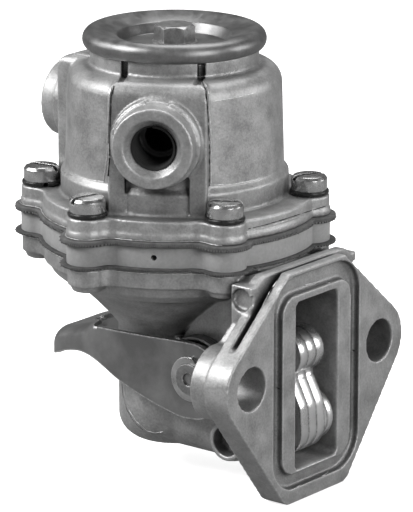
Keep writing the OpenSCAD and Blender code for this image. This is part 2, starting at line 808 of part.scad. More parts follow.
module outlet_valve_cage() {
  h = pocket_top_z - pocket_floor_z - 0.2 - valve_seat_t;
  at_valve(front_port_a) translate([0, 0, pocket_top_z]) mirror([0, 0, 1]) valve_cage(h);
}

// Pump rod and diaphragm plates

rod_top_z = deck_z + 0.2;
neck_top_z = 1.6;
nose_r = 2.1;
nose_z = -10.3;
rod_head_z = nose_z - nose_r - 0.15;
rod_head_r = 4.2;
disc_t = 1.2;

module pull_rod() {
  color("lightgray") at_axis() rotate_extrude() polygon([
    [0, rod_head_z - 2.6], [rod_head_r - 0.8, rod_head_z - 2.6], [rod_head_r, rod_head_z - 1.8],
    [rod_head_r, rod_head_z], [rod_neck_d / 2, rod_head_z], [rod_neck_d / 2, neck_top_z - 0.9],
    [rod_d / 2, neck_top_z], [rod_d / 2, rod_top_z], [0, rod_top_z]
  ]);
}

module rod_nut() {
  color("gray") at_axis(upper_z + seat_gap + disc_t) difference() {
    cylinder(r = 0.77 * rod_d, h = 0.53 * rod_d, $fn = 6);
    translate([0, 0, -1]) cylinder(r = rod_d / 2 + fit_gap, h = rod_d);
  }
}

module upper_plate() {
  color("gray") at_axis(upper_z + seat_gap) ring(disc_r, rod_d / 2 + fit_gap, disc_t);
}

module plate_spacer() {
  z0 = spacer_z + seat_gap;
  z1 = upper_fabric_z - seat_gap;
  inner = rod_d / 2 + fit_gap;
  foot_r = 0.74 * disc_r;
  core_r = 0.37 * disc_r;
  sheet_t = 0.9;
  color("gray") at_axis() rotate_extrude() polygon([
    [inner, z0], [foot_r, z0], [foot_r, z0 + sheet_t], [core_r, z0 + sheet_t],
    [core_r, z1 - sheet_t], [disc_r, z1 - sheet_t], [disc_r, z1], [inner, z1]
  ]);
}

lower_plate_z = lower_top_z - seat_gap - disc_t;

module lower_plate() {
  lip_r = spring_r + spring_wire / 2 + 0.5;
  color("gray") at_axis() rotate_extrude() polygon([
    [rod_d / 2 + fit_gap, lower_plate_z], [lip_r, lower_plate_z], [lip_r, lower_plate_z - 1.4],
    [lip_r + 1, lower_plate_z - 1.4], [lip_r + 1, lower_plate_z], [disc_r, lower_plate_z],
    [disc_r, lower_plate_z + disc_t], [rod_d / 2 + fit_gap, lower_plate_z + disc_t]
  ]);
}

retainer_t = 0.8;

module main_spring() {
  z = chamber_floor_z + retainer_t + seat_gap;
  color("silver") at_axis(z) coil(spring_r, spring_wire, lower_plate_z - seat_gap - z, 4, 20);
}

module seal_retainer() {
  color("darkgray") at_axis(chamber_floor_z) ring(1.2 * spring_r, rod_d / 2 + 0.5, retainer_t);
}

module rod_seal() {
  color("black") at_axis(chamber_floor_z - 3 + seat_gap)
    ring(rod_d / 2 + 2.5 - seat_gap, rod_d / 2 + run_gap, 3 - 2 * seat_gap);
}

// Rocker

// Side view of a tall rocker plate: two lobes with a waist between them, and the arm to the
// rod. The outer plates reach the rod, the middle one ends short of it.
module rocker_outline(reach_rod) {
  hub = [-pivot_x, pivot_z];
  knee = [-31, -11];
  translate([-6.8, 2.3]) circle(5.4);
  // Neck between the lobes, its front edge at the waist
  hull() {
    translate([-8.6, 0]) circle(3.4);
    translate([-7.6, -5.5]) circle(3.4);
    translate([-11.4, -5]) circle(3.6);
  }
  // Lower lobe, with the straight flank from the waist
  hull() {
    translate([-5.4, -5.1]) circle(1.4);
    translate([-6.9, -11.5]) circle(5.6);
    translate([-7.3, -16.3]) circle(6.3);
    translate(hub) circle(hub_r);
    translate([-11.4, -7]) circle(3.6);
  }
  hull() {
    translate(hub) circle(hub_r);
    translate(knee) circle(2.5);
  }
  if (reach_rod) {
    hull() {
      translate(knee) circle(2.5);
      translate([-axis_dist, nose_z + 1.7]) circle(3);
    }
    translate([-axis_dist, nose_z]) circle(nose_r);
  } else {
    hull() {
      translate(knee) circle(2.5);
      translate([-axis_dist + 8.6, -10.4]) circle(2.4);
    }
  }
}

// Side view of the short plate: hub and lower lobe only, the lobe a step further forward
module pad_outline() {
  lobe_r = 6.5;
  hull() {
    translate([-pivot_x, pivot_z]) circle(hub_r);
    translate([plate_step - 1 - lobe_r, -14.6]) circle(lobe_r);
  }
}

// Places of the rivets as x, z and radius. The first one also holds the short plate.
RIVETS = [[-7.6, -13.6, 1.7], [-6.8, 2.3, 1.5], [-25.5, -14, 1.4]];
stack_half = 1.5 * plate_t;
fork_w = rod_neck_d + 0.3;

// Bore for the bush and holes for the rivets
module plate_holes() {
  translate([-pivot_x, 0, pivot_z]) rotate([90, 0, 0])
    cylinder(r = pin_d / 2 + run_gap + 0.6 + fit_gap, h = 40, center = true);
  for (p = RIVETS) translate([p[0], 0, p[1]]) rotate([90, 0, 0])
    cylinder(r = p[2] + fit_gap, h = 40, center = true);
}

module rocker_plate(i) {
  outer = i != 2;
  color("silver") difference() {
    translate([0, (i - 1) * plate_t - stack_half + plate_t, 0]) rotate([90, 0, 0])
      linear_extrude(plate_t) rocker_outline(outer);
    plate_holes();
    // Room for the rod's neck between the fork's two tips
    if (outer) translate([-axis_dist - 8, -fork_w / 2, -20]) cube([15.5, fork_w, 20]);
  }
}

module rocker_plate_1() {
  rocker_plate(1);
}

module rocker_plate_2() {
  rocker_plate(2);
}

module rocker_plate_3() {
  rocker_plate(3);
}

module rocker_plate_4() {
  color("silver") difference() {
    translate([0, stack_half + pad_t, 0]) rotate([90, 0, 0]) linear_extrude(pad_t) pad_outline();
    plate_holes();
  }
}

module rocker_rivets() {
  head_t = 0.6;
  color("gray") for (i = [0:2]) {
    p = RIVETS[i];
    far_y = stack_half + (i == 0 ? pad_t : 0);
    translate([p[0], far_y, p[1]]) rotate([90, 0, 0]) {
      cylinder(r = p[2], h = far_y + stack_half);
      for (z = [-head_t, far_y + stack_half]) translate([0, 0, z]) cylinder(r = p[2] + 0.9, h = head_t);
    }
  }
}

module rocker_bush() {
  color("gold") translate([-pivot_x, 0, pivot_z]) rotate([90, 0, 0])
    translate([0, 0, -opening_w / 2 + 0.1])
    ring(pin_d / 2 + run_gap + 0.6, pin_d / 2 + run_gap, opening_w - 0.2);
}

module rocker_pin() {
  color("dimgray") translate([-pivot_x, 0, pivot_z]) rotate([90, 0, 0])
    cylinder(d = pin_d, h = opening_w + 2 * pin_seat_l - 0.1, center = true);
}

rocker_spring_x = 34.6;

module rocker_spring() {
  color("silver") translate([-rocker_spring_x, 0, cavity_floor_z + seat_gap])
    coil(2.7, 0.8, -14.05 - cavity_floor_z, 5, 14);
}

// Hand primer

lever_mid_z = -4.9;
lever_y = lever_half_w + lever_t;

// Side view of the lever: round end at the shaft, long arm, tip that curls down
module lever_side() {
  translate([-primer_x, lever_mid_z]) circle(lever_end_r);
  polygon([
    [-primer_x, lever_mid_z + lever_end_r], [-38.4, 3.4], [-47.7, 2.6], [-56.3, 2.2],
    [-63, 0.6], [-lever_tip_x + 4, -1.2], [-lever_tip_x + 1.4, -2.4], [-lever_tip_x, -4.6],
    [-lever_tip_x, -8.3], [-lever_tip_x + 1.6, -8.4], [-lever_tip_x + 4.6, -7.2],
    [-lever_tip_x + 8, -6], [-60, -5.8], [-56.4, -6.6], [-48.4, -9.8], [-38.5, -12.8],
    [-31, -14.4], [-primer_x, lever_mid_z - lever_end_r]
  ]);
}

// Plan of the lever, set in from its outer face
module lever_plan(inset) {
  w = lever_y - inset;
  tip_w = 9.6 - inset;
  tip_r = 5 - inset;
  polygon([
    [0, -w], [0, w], [-53, w], [-lever_tip_x + 4.5, tip_w], [-lever_tip_x + 4.5, -tip_w], [-53, -w]
  ]);
  hull() for (s = [-1, 1])
    translate([-lever_tip_x + tip_r + inset, s * (tip_w - tip_r)]) circle(tip_r);
  hull() for (s = [-1, 1]) {
    translate([-lever_tip_x + tip_r + inset, s * (tip_w - tip_r)]) circle(tip_r);
    translate([-54, s * (w - tip_r)]) circle(tip_r);
  }
}

module primer_lever() {
  slot_r = 7.2;
  color("slategray") difference() {
    intersection() {
      along_y(80) lever_side();
      translate([0, 0, -40]) linear_extrude(80) lever_plan(0);
    }
    // Hollow of the channel, under the web
    intersection() {
      along_y(80) translate([0, -lever_t]) lever_side();
      translate([0, 0, -40]) linear_extrude(80) lever_plan(lever_t);
    }
    // Slot that leaves the web only at the tip
    translate([0, 0, -40]) linear_extrude(80) {
      translate([-lever_tip_x + 3.6 + slot_r, 0]) circle(slot_r);
      polygon([
        [0, -lever_half_w], [0, lever_half_w], [-53, lever_half_w],
        [-lever_tip_x + 3.6 + slot_r, slot_r], [-lever_tip_x + 3.6 + slot_r, -slot_r],
        [-53, -lever_half_w]
      ]);
    }
    translate([-primer_x, 0, -40]) translate([-lever_end_r, -lever_half_w, 0])
      cube([4 * lever_end_r, 2 * lever_half_w, 80]);
    translate([-primer_x, 0, primer_z]) rotate([90, 0, 0])
      cylinder(d = primer_shaft_d + 2 * fit_gap, h = 80, center = true);
  }
}

end_plate_t = 1;

module primer_shaft() {
  half = lever_y + end_plate_t + 0.4;
  flat_w = opening_w - 1;
  color("gray") translate([-primer_x, 0, primer_z]) rotate([90, 0, 0]) difference() {
    cylinder(d = primer_shaft_d, h = 2 * half, center = true);
    // Flat that clears the resting rocker arm
    translate([-10, -20 - primer_shaft_d / 2 + 1.4, -flat_w / 2]) cube([20, 20, flat_w]);
    for (s = [-1, 1]) translate([0, 0, s * half]) cylinder(r = 1.6, h = 1.2, center = true);
  }
}

// Flat-sided plates that the peened shaft ends hold against the arms
module primer_end_plates() {
  color("gray") for (s = [-1, 1])
    translate([-primer_x, s * (lever_y + end_plate_t / 2), primer_z]) rotate([90, 0, 0])
      difference() {
        intersection() {
          cylinder(r = 5.5, h = end_plate_t, center = true);
          rotate(-45) translate([0, -0.6, 0]) cube([20, 9.8, 4], center = true);
        }
        cylinder(d = primer_shaft_d + 2 * fit_gap, h = 4, center = true);
      }
}

// The coil fits between the arm and the box, clear of the barrel beside it
module primer_spring() {
  wire = 0.9;
  side_gap = 0.3;
  barrel_gap = 0.23;
  barrel_side = sqrt(barrel_r * barrel_r - box_half_w * box_half_w);
  coil_r = axis_dist - primer_x - barrel_side - wire / 2 - barrel_gap;
  color("dimgray") translate([-primer_x, -box_half_w - side_gap, primer_z]) rotate([90, 0, 0])
    coil(coil_r, wire, lever_half_w - box_half_w - 2 * side_gap, 3.5, 24);
}

lower_housing();
upper_housing();
spacer_ring();
upper_diaphragm();
lower_diaphragm();
cover_screws();
spring_washers();
top_cap();
cap_bolt();
cap_washer();
cap_seal();
filter_gauze();
inlet_valve_seat();
inlet_valve_disc();
inlet_valve_spring();
inlet_valve_cage();
outlet_valve_seat();
outlet_valve_disc();
outlet_valve_spring();
outlet_valve_cage();
pull_rod();
rod_nut();
upper_plate();
plate_spacer();
lower_plate();
main_spring();
rod_seal();
seal_retainer();
rocker_plate_1();
rocker_plate_2();
rocker_plate_3();
rocker_plate_4();
rocker_rivets();
rocker_bush();
rocker_pin();
rocker_spring();
primer_lever();
primer_shaft();
primer_end_plates();
primer_spring();
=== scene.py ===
"""Finished look of a mechanical fuel pump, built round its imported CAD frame.

Metres. The origin is the middle of the mounting face, +X points out of that face and +Z up
along the pump axis.
"""

import math
import random

import bmesh
import bpy
from bpy.props import FloatProperty, FloatVectorProperty, PointerProperty
from bpy.types import Operator, Panel, PropertyGroup
from mathutils import Matrix, Vector
from mathutils.bvhtree import BVHTree


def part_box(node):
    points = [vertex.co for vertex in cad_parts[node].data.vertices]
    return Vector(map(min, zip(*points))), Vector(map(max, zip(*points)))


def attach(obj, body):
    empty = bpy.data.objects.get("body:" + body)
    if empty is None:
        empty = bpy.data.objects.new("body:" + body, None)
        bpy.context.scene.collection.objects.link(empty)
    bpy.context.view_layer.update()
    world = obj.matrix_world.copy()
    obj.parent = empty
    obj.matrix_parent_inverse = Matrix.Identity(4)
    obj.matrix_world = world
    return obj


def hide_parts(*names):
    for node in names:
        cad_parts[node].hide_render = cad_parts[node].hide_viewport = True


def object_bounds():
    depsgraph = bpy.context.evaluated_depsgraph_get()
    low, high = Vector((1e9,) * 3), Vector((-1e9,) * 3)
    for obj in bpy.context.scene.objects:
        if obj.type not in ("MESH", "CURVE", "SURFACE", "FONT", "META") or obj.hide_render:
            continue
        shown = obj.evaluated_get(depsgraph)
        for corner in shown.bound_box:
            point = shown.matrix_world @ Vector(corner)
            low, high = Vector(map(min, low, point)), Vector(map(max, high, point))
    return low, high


bl_info = {
    "name": "Mechanical fuel pump",
    "version": (1, 0, 0),
    "blender": (4, 5, 0),
    "location": "3D View > Sidebar > Fuel pump",
    "description": "Finished look of a mechanical fuel pump round its CAD frame",
    "category": "Object",
}

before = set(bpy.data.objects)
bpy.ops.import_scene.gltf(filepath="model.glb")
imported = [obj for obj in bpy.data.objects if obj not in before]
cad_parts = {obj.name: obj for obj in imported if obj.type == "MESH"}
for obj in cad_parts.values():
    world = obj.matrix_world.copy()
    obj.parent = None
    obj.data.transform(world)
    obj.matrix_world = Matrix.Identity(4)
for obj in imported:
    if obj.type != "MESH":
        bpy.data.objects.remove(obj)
CAD_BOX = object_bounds()
MM = 0.001
SEED = 7
MERGE = 0.002 * MM


def box_middle(node):
    """Middle of a CAD node's box."""
    low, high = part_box(node)
    return (low + high) / 2


# The pump's axis, and the ports on it
AXIS_X = box_middle("top_cap").x
FRONT_PORT = math.radians(-60)
REAR_PORT = math.radians(180)
PORT_Z = 53.8 * MM
PORT_REACH = 34 * MM
PORT_BORE = 10.4 * MM

# The photograph's camera: FOCAL and the photograph's values in pixels, SENSOR in mm
CAMERA_PLACE = (0.51149, -0.68694, 0.26570)
AZIMUTH = math.radians(38.41)
ELEVATION = math.radians(15.61)
FOCAL = 3807.52
PHOTO_MIDDLE = (206.5, 256)
PHOTO_SIDE = 512
SENSOR = 36


def camera_axes():
    """Directions to the right, up and back of the photograph's camera."""
    back = Vector((math.sin(AZIMUTH) * math.cos(ELEVATION),
                   -math.cos(AZIMUTH) * math.cos(ELEVATION), math.sin(ELEVATION)))
    right = Vector((math.cos(AZIMUTH), math.sin(AZIMUTH), 0))
    return right, back.cross(right), back


# Selecting and finishing


def select_only(*objects):
    """Selects these objects alone and makes the first one active."""
    bpy.ops.object.select_all(action="DESELECT")
    for obj in objects:
        obj.select_set(True)
    bpy.context.view_layer.objects.active = objects[0]


def apply_modifiers(obj):
    """Applies every modifier of an object, in order."""
    select_only(obj)
    for name in [m.name for m in obj.modifiers]:
        bpy.ops.object.modifier_apply(modifier=name)


def settle(obj):
    """Puts an object's place, turn and size into its mesh."""
    select_only(obj)
    bpy.ops.object.transform_apply(location=True, rotation=True, scale=True)


def named(name):
    """Gives the object that an operator has just made its name."""
    obj = bpy.context.object
    obj.name = name
    obj.data.name = name
    return obj


def joined(name, objects):
    """Joins several objects into one."""
    select_only(*objects)
    if len(objects) > 1:
        bpy.ops.object.join()
    return named(name)


def smooth(obj, angle=40):
    """Shades faces smoothly where they meet at less than an angle in degrees."""
    select_only(obj)
    bpy.ops.object.shade_smooth_by_angle(angle=math.radians(angle))


def outward(obj):
    """Merges doubles and turns all faces outwards."""
    select_only(obj)
    bpy.ops.object.mode_set(mode="EDIT")
    bpy.ops.mesh.select_all(action="SELECT")
    bpy.ops.mesh.remove_doubles(threshold=MERGE)
    bpy.ops.mesh.normals_make_consistent(inside=False)
    bpy.ops.object.mode_set(mode="OBJECT")


def placed(name, data):
    """A new object that holds this mesh or curve, selected."""
    obj = bpy.data.objects.new(name, data)
    bpy.context.scene.collection.objects.link(obj)
    select_only(obj)
    return obj


def node_copy(node, name, flat_angle=1.0):
    """A merged copy of a CAD node's mesh, with the edges on its flats taken out."""
    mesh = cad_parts[node].data.copy()
    mesh.materials.clear()
    obj = placed(name, mesh)
    bpy.ops.mesh.customdata_custom_splitnormals_clear()
    bpy.ops.object.mode_set(mode="EDIT")
    bpy.ops.mesh.select_all(action="SELECT")
    bpy.ops.mesh.remove_doubles(threshold=2 * MERGE)
    bpy.ops.mesh.dissolve_limited(angle_limit=math.radians(flat_angle))
    bpy.ops.mesh.normals_make_consistent(inside=False)
    bpy.ops.object.mode_set(mode="OBJECT")
    return obj


def node_surface(node):
    """Search tree of a CAD node's faces."""
    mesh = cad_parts[node].data
    return BVHTree.FromPolygons(
        [vertex.co for vertex in mesh.vertices], [face.vertices for face in mesh.polygons]
    )


def bevel_edges(obj, width, segments=3, angle=30):
    """Rounds all edges sharper than an angle in degrees."""
    bevel = obj.modifiers.new("Rounded edges", "BEVEL")
    bevel.width = width
    bevel.segments = segments
    bevel.limit_method = "ANGLE"
    bevel.angle_limit = math.radians(angle)
    bevel.miter_outer = "MITER_ARC"
    apply_modifiers(obj)


def dress(obj, material, body, nodes=()):
    """Gives a finished piece its material and its body, and hides the nodes it stands for."""
    obj.data.materials.clear()
    obj.data.materials.append(material)
    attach(obj, body)
    if nodes:
        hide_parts(*nodes)


# Materials


def feed(tree, socket, value):
    """Links a socket to another one, or sets it to a plain value."""
    if isinstance(value, bpy.types.NodeSocket):
        tree.links.new(value, socket)
    else:
        socket.default_value = value


def remap(tree, value, low, high, out_low=0.0, out_high=1.0):
    """Spreads a value from one range over another, held at both ends."""
    node = tree.nodes.new("ShaderNodeMapRange")
    limits = (value, low, high, out_low, out_high)
    for socket, number in zip(node.inputs, limits):
        feed(tree, socket, number)
    return node.outputs["Result"]


def combine(tree, operation, a, b=0.0):
    """One arithmetic step on one or two values."""
    node = tree.nodes.new("ShaderNodeMath")
    node.operation = operation
    feed(tree, node.inputs[0], a)
    feed(tree, node.inputs[1], b)
    return node.outputs["Value"]


def blend_colors(tree, factor, a, b):
    """A colour between two colours. The node's colour sockets come last and share names."""
    node = tree.nodes.new("ShaderNodeMix")
    node.data_type = "RGBA"
    feed(tree, node.inputs["Factor"], factor)
    feed(tree, node.inputs[6], a)
    feed(tree, node.inputs[7], b)
    return node.outputs[2]


def object_place(tree):
    """Place of a point in its object's own frame."""
    return tree.nodes.new("ShaderNodeTexCoord").outputs["Object"]


def parts_of(tree, vector):
    """The three parts of a vector."""
    node = tree.nodes.new("ShaderNodeSeparateXYZ")
    tree.links.new(vector, node.inputs[0])
    return node.outputs


def upward(tree):
    """How far a surface faces up: 1 for a top, -1 for an underside."""
    return parts_of(tree, tree.nodes.new("ShaderNodeNewGeometry").outputs["Normal"])[2]


def relief_of(tree, shader, height, depth):
    """Gives a surface a fine relief of a depth in mm."""
    bump = tree.nodes.new("ShaderNodeBump")
    bump.inputs["Strength"].default_value = 1.0
    bump.inputs["Distance"].default_value = depth * MM
    feed(tree, bump.inputs["Height"], height)
    feed(tree, shader.inputs["Normal"], bump.outputs["Normal"])


def noise(tree, place, scale, detail=4.0, rough=0.55):
    """Cloudy noise, with its scale in turns per metre."""
    node = tree.nodes.new("ShaderNodeTexNoise")
    tree.links.new(place, node.inputs["Vector"])
    feed(tree, node.inputs["Scale"], scale)
    feed(tree, node.inputs["Detail"], detail)
    feed(tree, node.inputs["Roughness"], rough)
    return node.outputs["Fac"]


def new_group(name, inputs, outputs):
    """An empty shader group with plain number sockets."""
    tree = bpy.data.node_groups.new(name, "ShaderNodeTree")
    for label, value in inputs.items():
        socket = tree.interface.new_socket(label, in_out="INPUT", socket_type="NodeSocketFloat")
        socket.default_value = value
    for label in outputs:
        tree.interface.new_socket(label, in_out="OUTPUT", socket_type="NodeSocketFloat")
    return tree, tree.nodes.new("NodeGroupInput").outputs, tree.nodes.new("NodeGroupOutput").inputs


def grain_group():
    """Mottled tone and fine relief of a cast or rolled surface."""
    tree, given, made = new_group(
        "Surface grain", {"Mottle scale": 300.0, "Grain scale": 4000.0, "Specks": 0.4},
        ("Mottle", "Height"),
    )
    place = object_place(tree)
    broad = noise(tree, place, given["Mottle scale"], 5.0, 0.6)
    fine = noise(tree, place, given["Grain scale"], 3.0, 0.6)
    middle = noise(tree, place, combine(tree, "MULTIPLY", given["Grain scale"], 0.25), 3.0, 0.5)
    speck = noise(tree, place, combine(tree, "MULTIPLY", given["Grain scale"], 0.5), 2.0, 0.7)
    specks = combine(tree, "MULTIPLY", combine(tree, "SUBTRACT", speck, broad), given["Specks"])
    both = combine(tree, "ADD", broad, specks)
    feed(tree, made["Mottle"], remap(tree, both, 0.38, 0.62))
    fine = combine(tree, "MULTIPLY", fine, 0.5)
    feed(tree, made["Height"], combine(tree, "ADD", fine, middle))
    return tree


def openness(tree, distance, inside):
    """How open the space above a point is, or the solid under it, within a distance."""
    node = tree.nodes.new("ShaderNodeAmbientOcclusion")
    node.samples = 6
    node.inside = inside
    node.only_local = True
    feed(tree, node.inputs["Distance"], distance)
    return node.outputs["AO"]


def wear_and_light_group():
    """Masks of a shape's edges, worn bright in places and painted as highlight where they do not
    face down, and of its hollows, painted as shade.
    """
    tree, given, made = new_group(
        "Edge wear and painted light", {"Edge width": 0.7 * MM, "Hollow depth": 7 * MM}, ("Edge", "Hollow"),
    )
    broken = remap(tree, noise(tree, object_place(tree), 1500.0, 3.0), 0.35, 0.6, 0.3, 1.0)
    edge = remap(tree, openness(tree, given["Edge width"], True), 0.93, 0.6)
    # Edges that face down get almost none of the brightening: a painted highlight, as if lit from
    # above
    edge_lit_from_above = remap(tree, upward(tree), -0.8, -0.1, 0.05, 1.0)
    edge = combine(tree, "MULTIPLY", edge, edge_lit_from_above)
    feed(tree, made["Edge"], combine(tree, "MULTIPLY", edge, broken))
    # Darkening by how closed in a point is: painted shade in hollows, corners and under things
    painted_shade = openness(tree, given["Hollow depth"], False)
    feed(tree, made["Hollow"], remap(tree, painted_shade, 0.84, 0.32))
    return tree


GROUPS = {}


def shared_group(name):
    """A shared shader group, made when it is first asked for."""
    if name not in GROUPS:
        GROUPS[name] = {"grain": grain_group, "wear_and_light": wear_and_light_group}[name]()
    return GROUPS[name]


def place_group(tree, name, **values):
    """Places a shared group in a material and sets its inputs."""
    node = tree.nodes.new("ShaderNodeGroup")
    node.node_tree = shared_group(name)
    for label, value in values.items():
        node.inputs[label.replace("_", " ")].default_value = value
    return node.outputs


def new_material(name):
    """A material with an empty Principled surface. Returns it with its tree and shader."""
    material = bpy.data.materials.new(name)
    material.use_nodes = True
    tree = material.node_tree
    return material, tree, tree.nodes["Principled BSDF"]


def grey(value):
    """A neutral colour."""
    return (value, value, value, 1.0)


def metal(name, dark, light, metallic, rough, mottle_scale=300.0, grain_scale=4000.0,
          relief=0.02, edge_tone=0.8, edge_amount=0.6, edge_width=0.7, painted_shade_tone=0.02,
          painted_shade_amount=0.7, painted_shade_depth=7.0, rough_spread=0.12, specks=0.4):
    """Metal with mottled tone, fine relief, edges worn bright and painted as highlight, and
    hollows darkened as painted shade.

    Lengths are in mm, and scales in turns per metre.
    """
    material, tree, shader = new_material(name)
    grain = place_group(tree, "grain", Mottle_scale=mottle_scale, Grain_scale=grain_scale,
                        Specks=specks)
    wear_and_light = place_group(tree, "wear_and_light", Edge_width=edge_width * MM, Hollow_depth=painted_shade_depth * MM)
    tone = blend_colors(tree, grain["Mottle"], grey(dark), grey(light))
    # Edges take edge_tone: wear together with a painted highlight, or painted shade where that
    # tone is dark
    edge = combine(tree, "MULTIPLY", wear_and_light["Edge"], edge_amount)
    tone = blend_colors(tree, edge, tone, grey(edge_tone))
    # Painted shade in the hollows, mixed into the colour
    painted_shade = combine(tree, "MULTIPLY", wear_and_light["Hollow"], painted_shade_amount)
    feed(tree, shader.inputs["Base Color"], blend_colors(tree, painted_shade, tone, grey(painted_shade_tone)))
    shader.inputs["Metallic"].default_value = metallic
    least, most = rough - rough_spread / 2, rough + rough_spread / 2
    feed(tree, shader.inputs["Roughness"], remap(tree, grain["Mottle"], 0.0, 1.0, least, most))
    relief_of(tree, shader, grain["Height"], relief)
    return material


def soft_stuff(name, dark, light, rough, mottle_scale, grain_scale, relief, glow=0.0):
    """Plastic, rubber or coated cloth."""
    material, tree, shader = new_material(name)
    grain = place_group(tree, "grain", Mottle_scale=mottle_scale, Grain_scale=grain_scale)
    tone = blend_colors(tree, grain["Mottle"], grey(dark), grey(light))
    feed(tree, shader.inputs["Base Color"], tone)
    shader.inputs["Roughness"].default_value = rough
    if glow:
        shader.inputs["Subsurface Weight"].default_value = glow
        shader.inputs["Subsurface Radius"].default_value = (1.0, 1.0, 0.9)
        shader.inputs["Subsurface Scale"].default_value = 1.2 * MM
    relief_of(tree, shader, grain["Height"], relief)
    return material


# Threads that end at a fabric layer's edge, all round
THREADS = 420.0


def fabric_stuff(name, dark, light, thread, top):
    """Coated fabric, with the threads cut across along its edge below a level."""
    material, tree, shader = new_material(name)
    grain = place_group(tree, "grain", Mottle_scale=500.0, Grain_scale=1800.0)
    x, y, z = parts_of(tree, object_place(tree))
    turn = combine(tree, "ARCTAN2", y, combine(tree, "SUBTRACT", x, AXIS_X))
    ticks = combine(tree, "SINE", combine(tree, "MULTIPLY", turn, THREADS))
    side = remap(tree, combine(tree, "ABSOLUTE", upward(tree)), 0.8, 0.4)
    tone = blend_colors(tree, grain["Mottle"], grey(dark), grey(light))
    cut = blend_colors(tree, remap(tree, ticks, -0.6, 0.5), grey(thread), grey(0.01))
    rim = remap(tree, z, top, top + 0.1 * MM, 1.0, 0.0)
    cut = blend_colors(tree, combine(tree, "MULTIPLY", side, rim), tone, cut)
    feed(tree, shader.inputs["Base Color"], cut)
    shader.inputs["Roughness"].default_value = 0.75
    relief_of(tree, shader, grain["Height"], 0.06)
    return material


def make_materials(look):
    """All finishes of the pump, by name."""
    cast, cap, lever = look.cast_tone, look.cap_tone, look.lever_tone
    # In these finishes edge_tone and edge_amount paint a highlight along edges, together with
    # wear, and the hollow settings paint shade into hollows, slots and undersides
    return {
        "cast": metal("Die cast body", cast * 0.76, cast * 1.24, 0.65, 0.46, 170, 3600, 0.06,
                      edge_tone=0.85, edge_amount=0.75, painted_shade_amount=0.9, painted_shade_depth=10.0,
                      painted_shade_tone=0.01),
        # A little lighter than the casting: a faint painted highlight along the ridge
        "ridge": metal("Low casting ridge with a faint painted highlight", cast * 1.0, cast * 1.4, 0.7, 0.4, 600, 3600, 0.04,
                       edge_amount=0.1, painted_shade_amount=0.0),
        # Painted near black: the shade deep inside the ports
        "bore": metal("Port bore painted black as shade", 0.004, 0.012, 0.0, 0.75, 500, 6000, 0.02, edge_tone=0.02,
                      painted_shade_amount=0.9),
        # Flash lines coloured far brighter than the casting: a painted highlight along edges
        "flash": metal("Casting flash painted bright as highlight", 0.5, 0.9, 0.8, 0.35, 900, 5000, 0.03,
                       edge_amount=0.2, painted_shade_amount=0.0),
        # Near-black lines laid in the seams and gaps: painted shade
        "seam": metal("Painted shade in the casting seams", 0.01, 0.03, 0.0, 0.8, 900, 5000, 0.03,
                      edge_amount=0.0, painted_shade_amount=0.0),
        "bright": metal("Bright plated screws", 0.48, 0.62, 1.0, 0.25, 500, 2500, 0.006,
                        edge_tone=0.9, edge_amount=0.4, edge_width=0.35, painted_shade_depth=1.8,
                        painted_shade_amount=1.0, specks=0.15),
        "black": metal("Black washers", 0.012, 0.03, 0.2, 0.3, 700, 5000, 0.01, edge_tone=0.1,
                       edge_amount=0.3, edge_width=0.3),
        "cap": metal("Dull plated cap", cap * 0.8, cap * 1.2, 0.92, 0.41, 200, 3600, 0.015,
                     edge_tone=0.5, edge_amount=0.3, painted_shade_depth=12.0, painted_shade_amount=0.9,
                     specks=0.25),
        "bolt": metal("Plated hex bolt", 0.3, 0.46, 0.9, 0.38, 900, 5000, 0.04, edge_tone=0.7,
                      edge_width=0.4, painted_shade_amount=0.3),
        # Edges painted near black: the shade in the gaps between the plates
        "rocker": metal("Bright rocker plates with painted shade between them", 0.72, 0.92, 1.0, 0.29, 90, 1500, 0.006,
                        edge_tone=0.03, edge_amount=1.0, edge_width=0.55, painted_shade_amount=0.1,
                        rough_spread=0.06, specks=0.1),
        # Broad strong mottle paints the sheet's reflection bands, and the bright edges are a
        # painted highlight
        "lever": metal("Lever sheet with painted reflection bands", lever * 0.6, lever * 1.3, 0.85, 0.34, 32, 7000, 0.004,
                       edge_tone=0.95, edge_amount=1.0, edge_width=0.45, rough_spread=0.05,
                       painted_shade_amount=0.3, specks=0.06),
        "plate": metal("Stamped end plates", 0.4, 0.56, 0.95, 0.32, 300, 3000, 0.01,
                       edge_tone=0.95, edge_width=0.4, painted_shade_depth=2.0, specks=0.1),
        "shaft": metal("Peened shaft end", 0.24, 0.36, 0.95, 0.34, 500, 3000, 0.01,
                       edge_tone=0.9, edge_width=0.4, painted_shade_depth=1.5, painted_shade_amount=1.0),
        "steel": metal("Drawn steel", 0.3, 0.45, 0.95, 0.35, 500, 4000, 0.01),
        "wire": metal("Dark spring wire", 0.1, 0.18, 0.9, 0.35, 500, 4000, 0.01, edge_tone=0.5,
                      edge_width=0.2),
        "brass": metal("Brass", 0.4, 0.55, 0.95, 0.35, 400, 4000, 0.01),
        "nylon": soft_stuff("Pale nylon", 0.36, 0.46, 0.34, 90, 2500, 0.01, glow=0.25),
        "fabric_upper": fabric_stuff("Upper coated fabric", 0.085, 0.15, 0.24, 30.35 * MM),
        "fabric_lower": fabric_stuff("Lower coated fabric", 0.05, 0.1, 0.2, 24.5 * MM),
        "rubber": soft_stuff("Rubber", 0.015, 0.03, 0.6, 500, 3000, 0.02),
        "fibre": soft_stuff("Cut fibres", 0.03, 0.16, 0.85, 2500, 5000, 0.02),
        "disc": soft_stuff("Moulded valve disc", 0.1, 0.16, 0.5, 300, 2000, 0.01),
    }


MATERIALS = {}


def finish(name):
    """One of the pump's finishes."""
    if not MATERIALS:
        MATERIALS.update(make_materials(bpy.context.scene.fuel_pump))
    return MATERIALS[name]


# Sizes and tones that can be changed


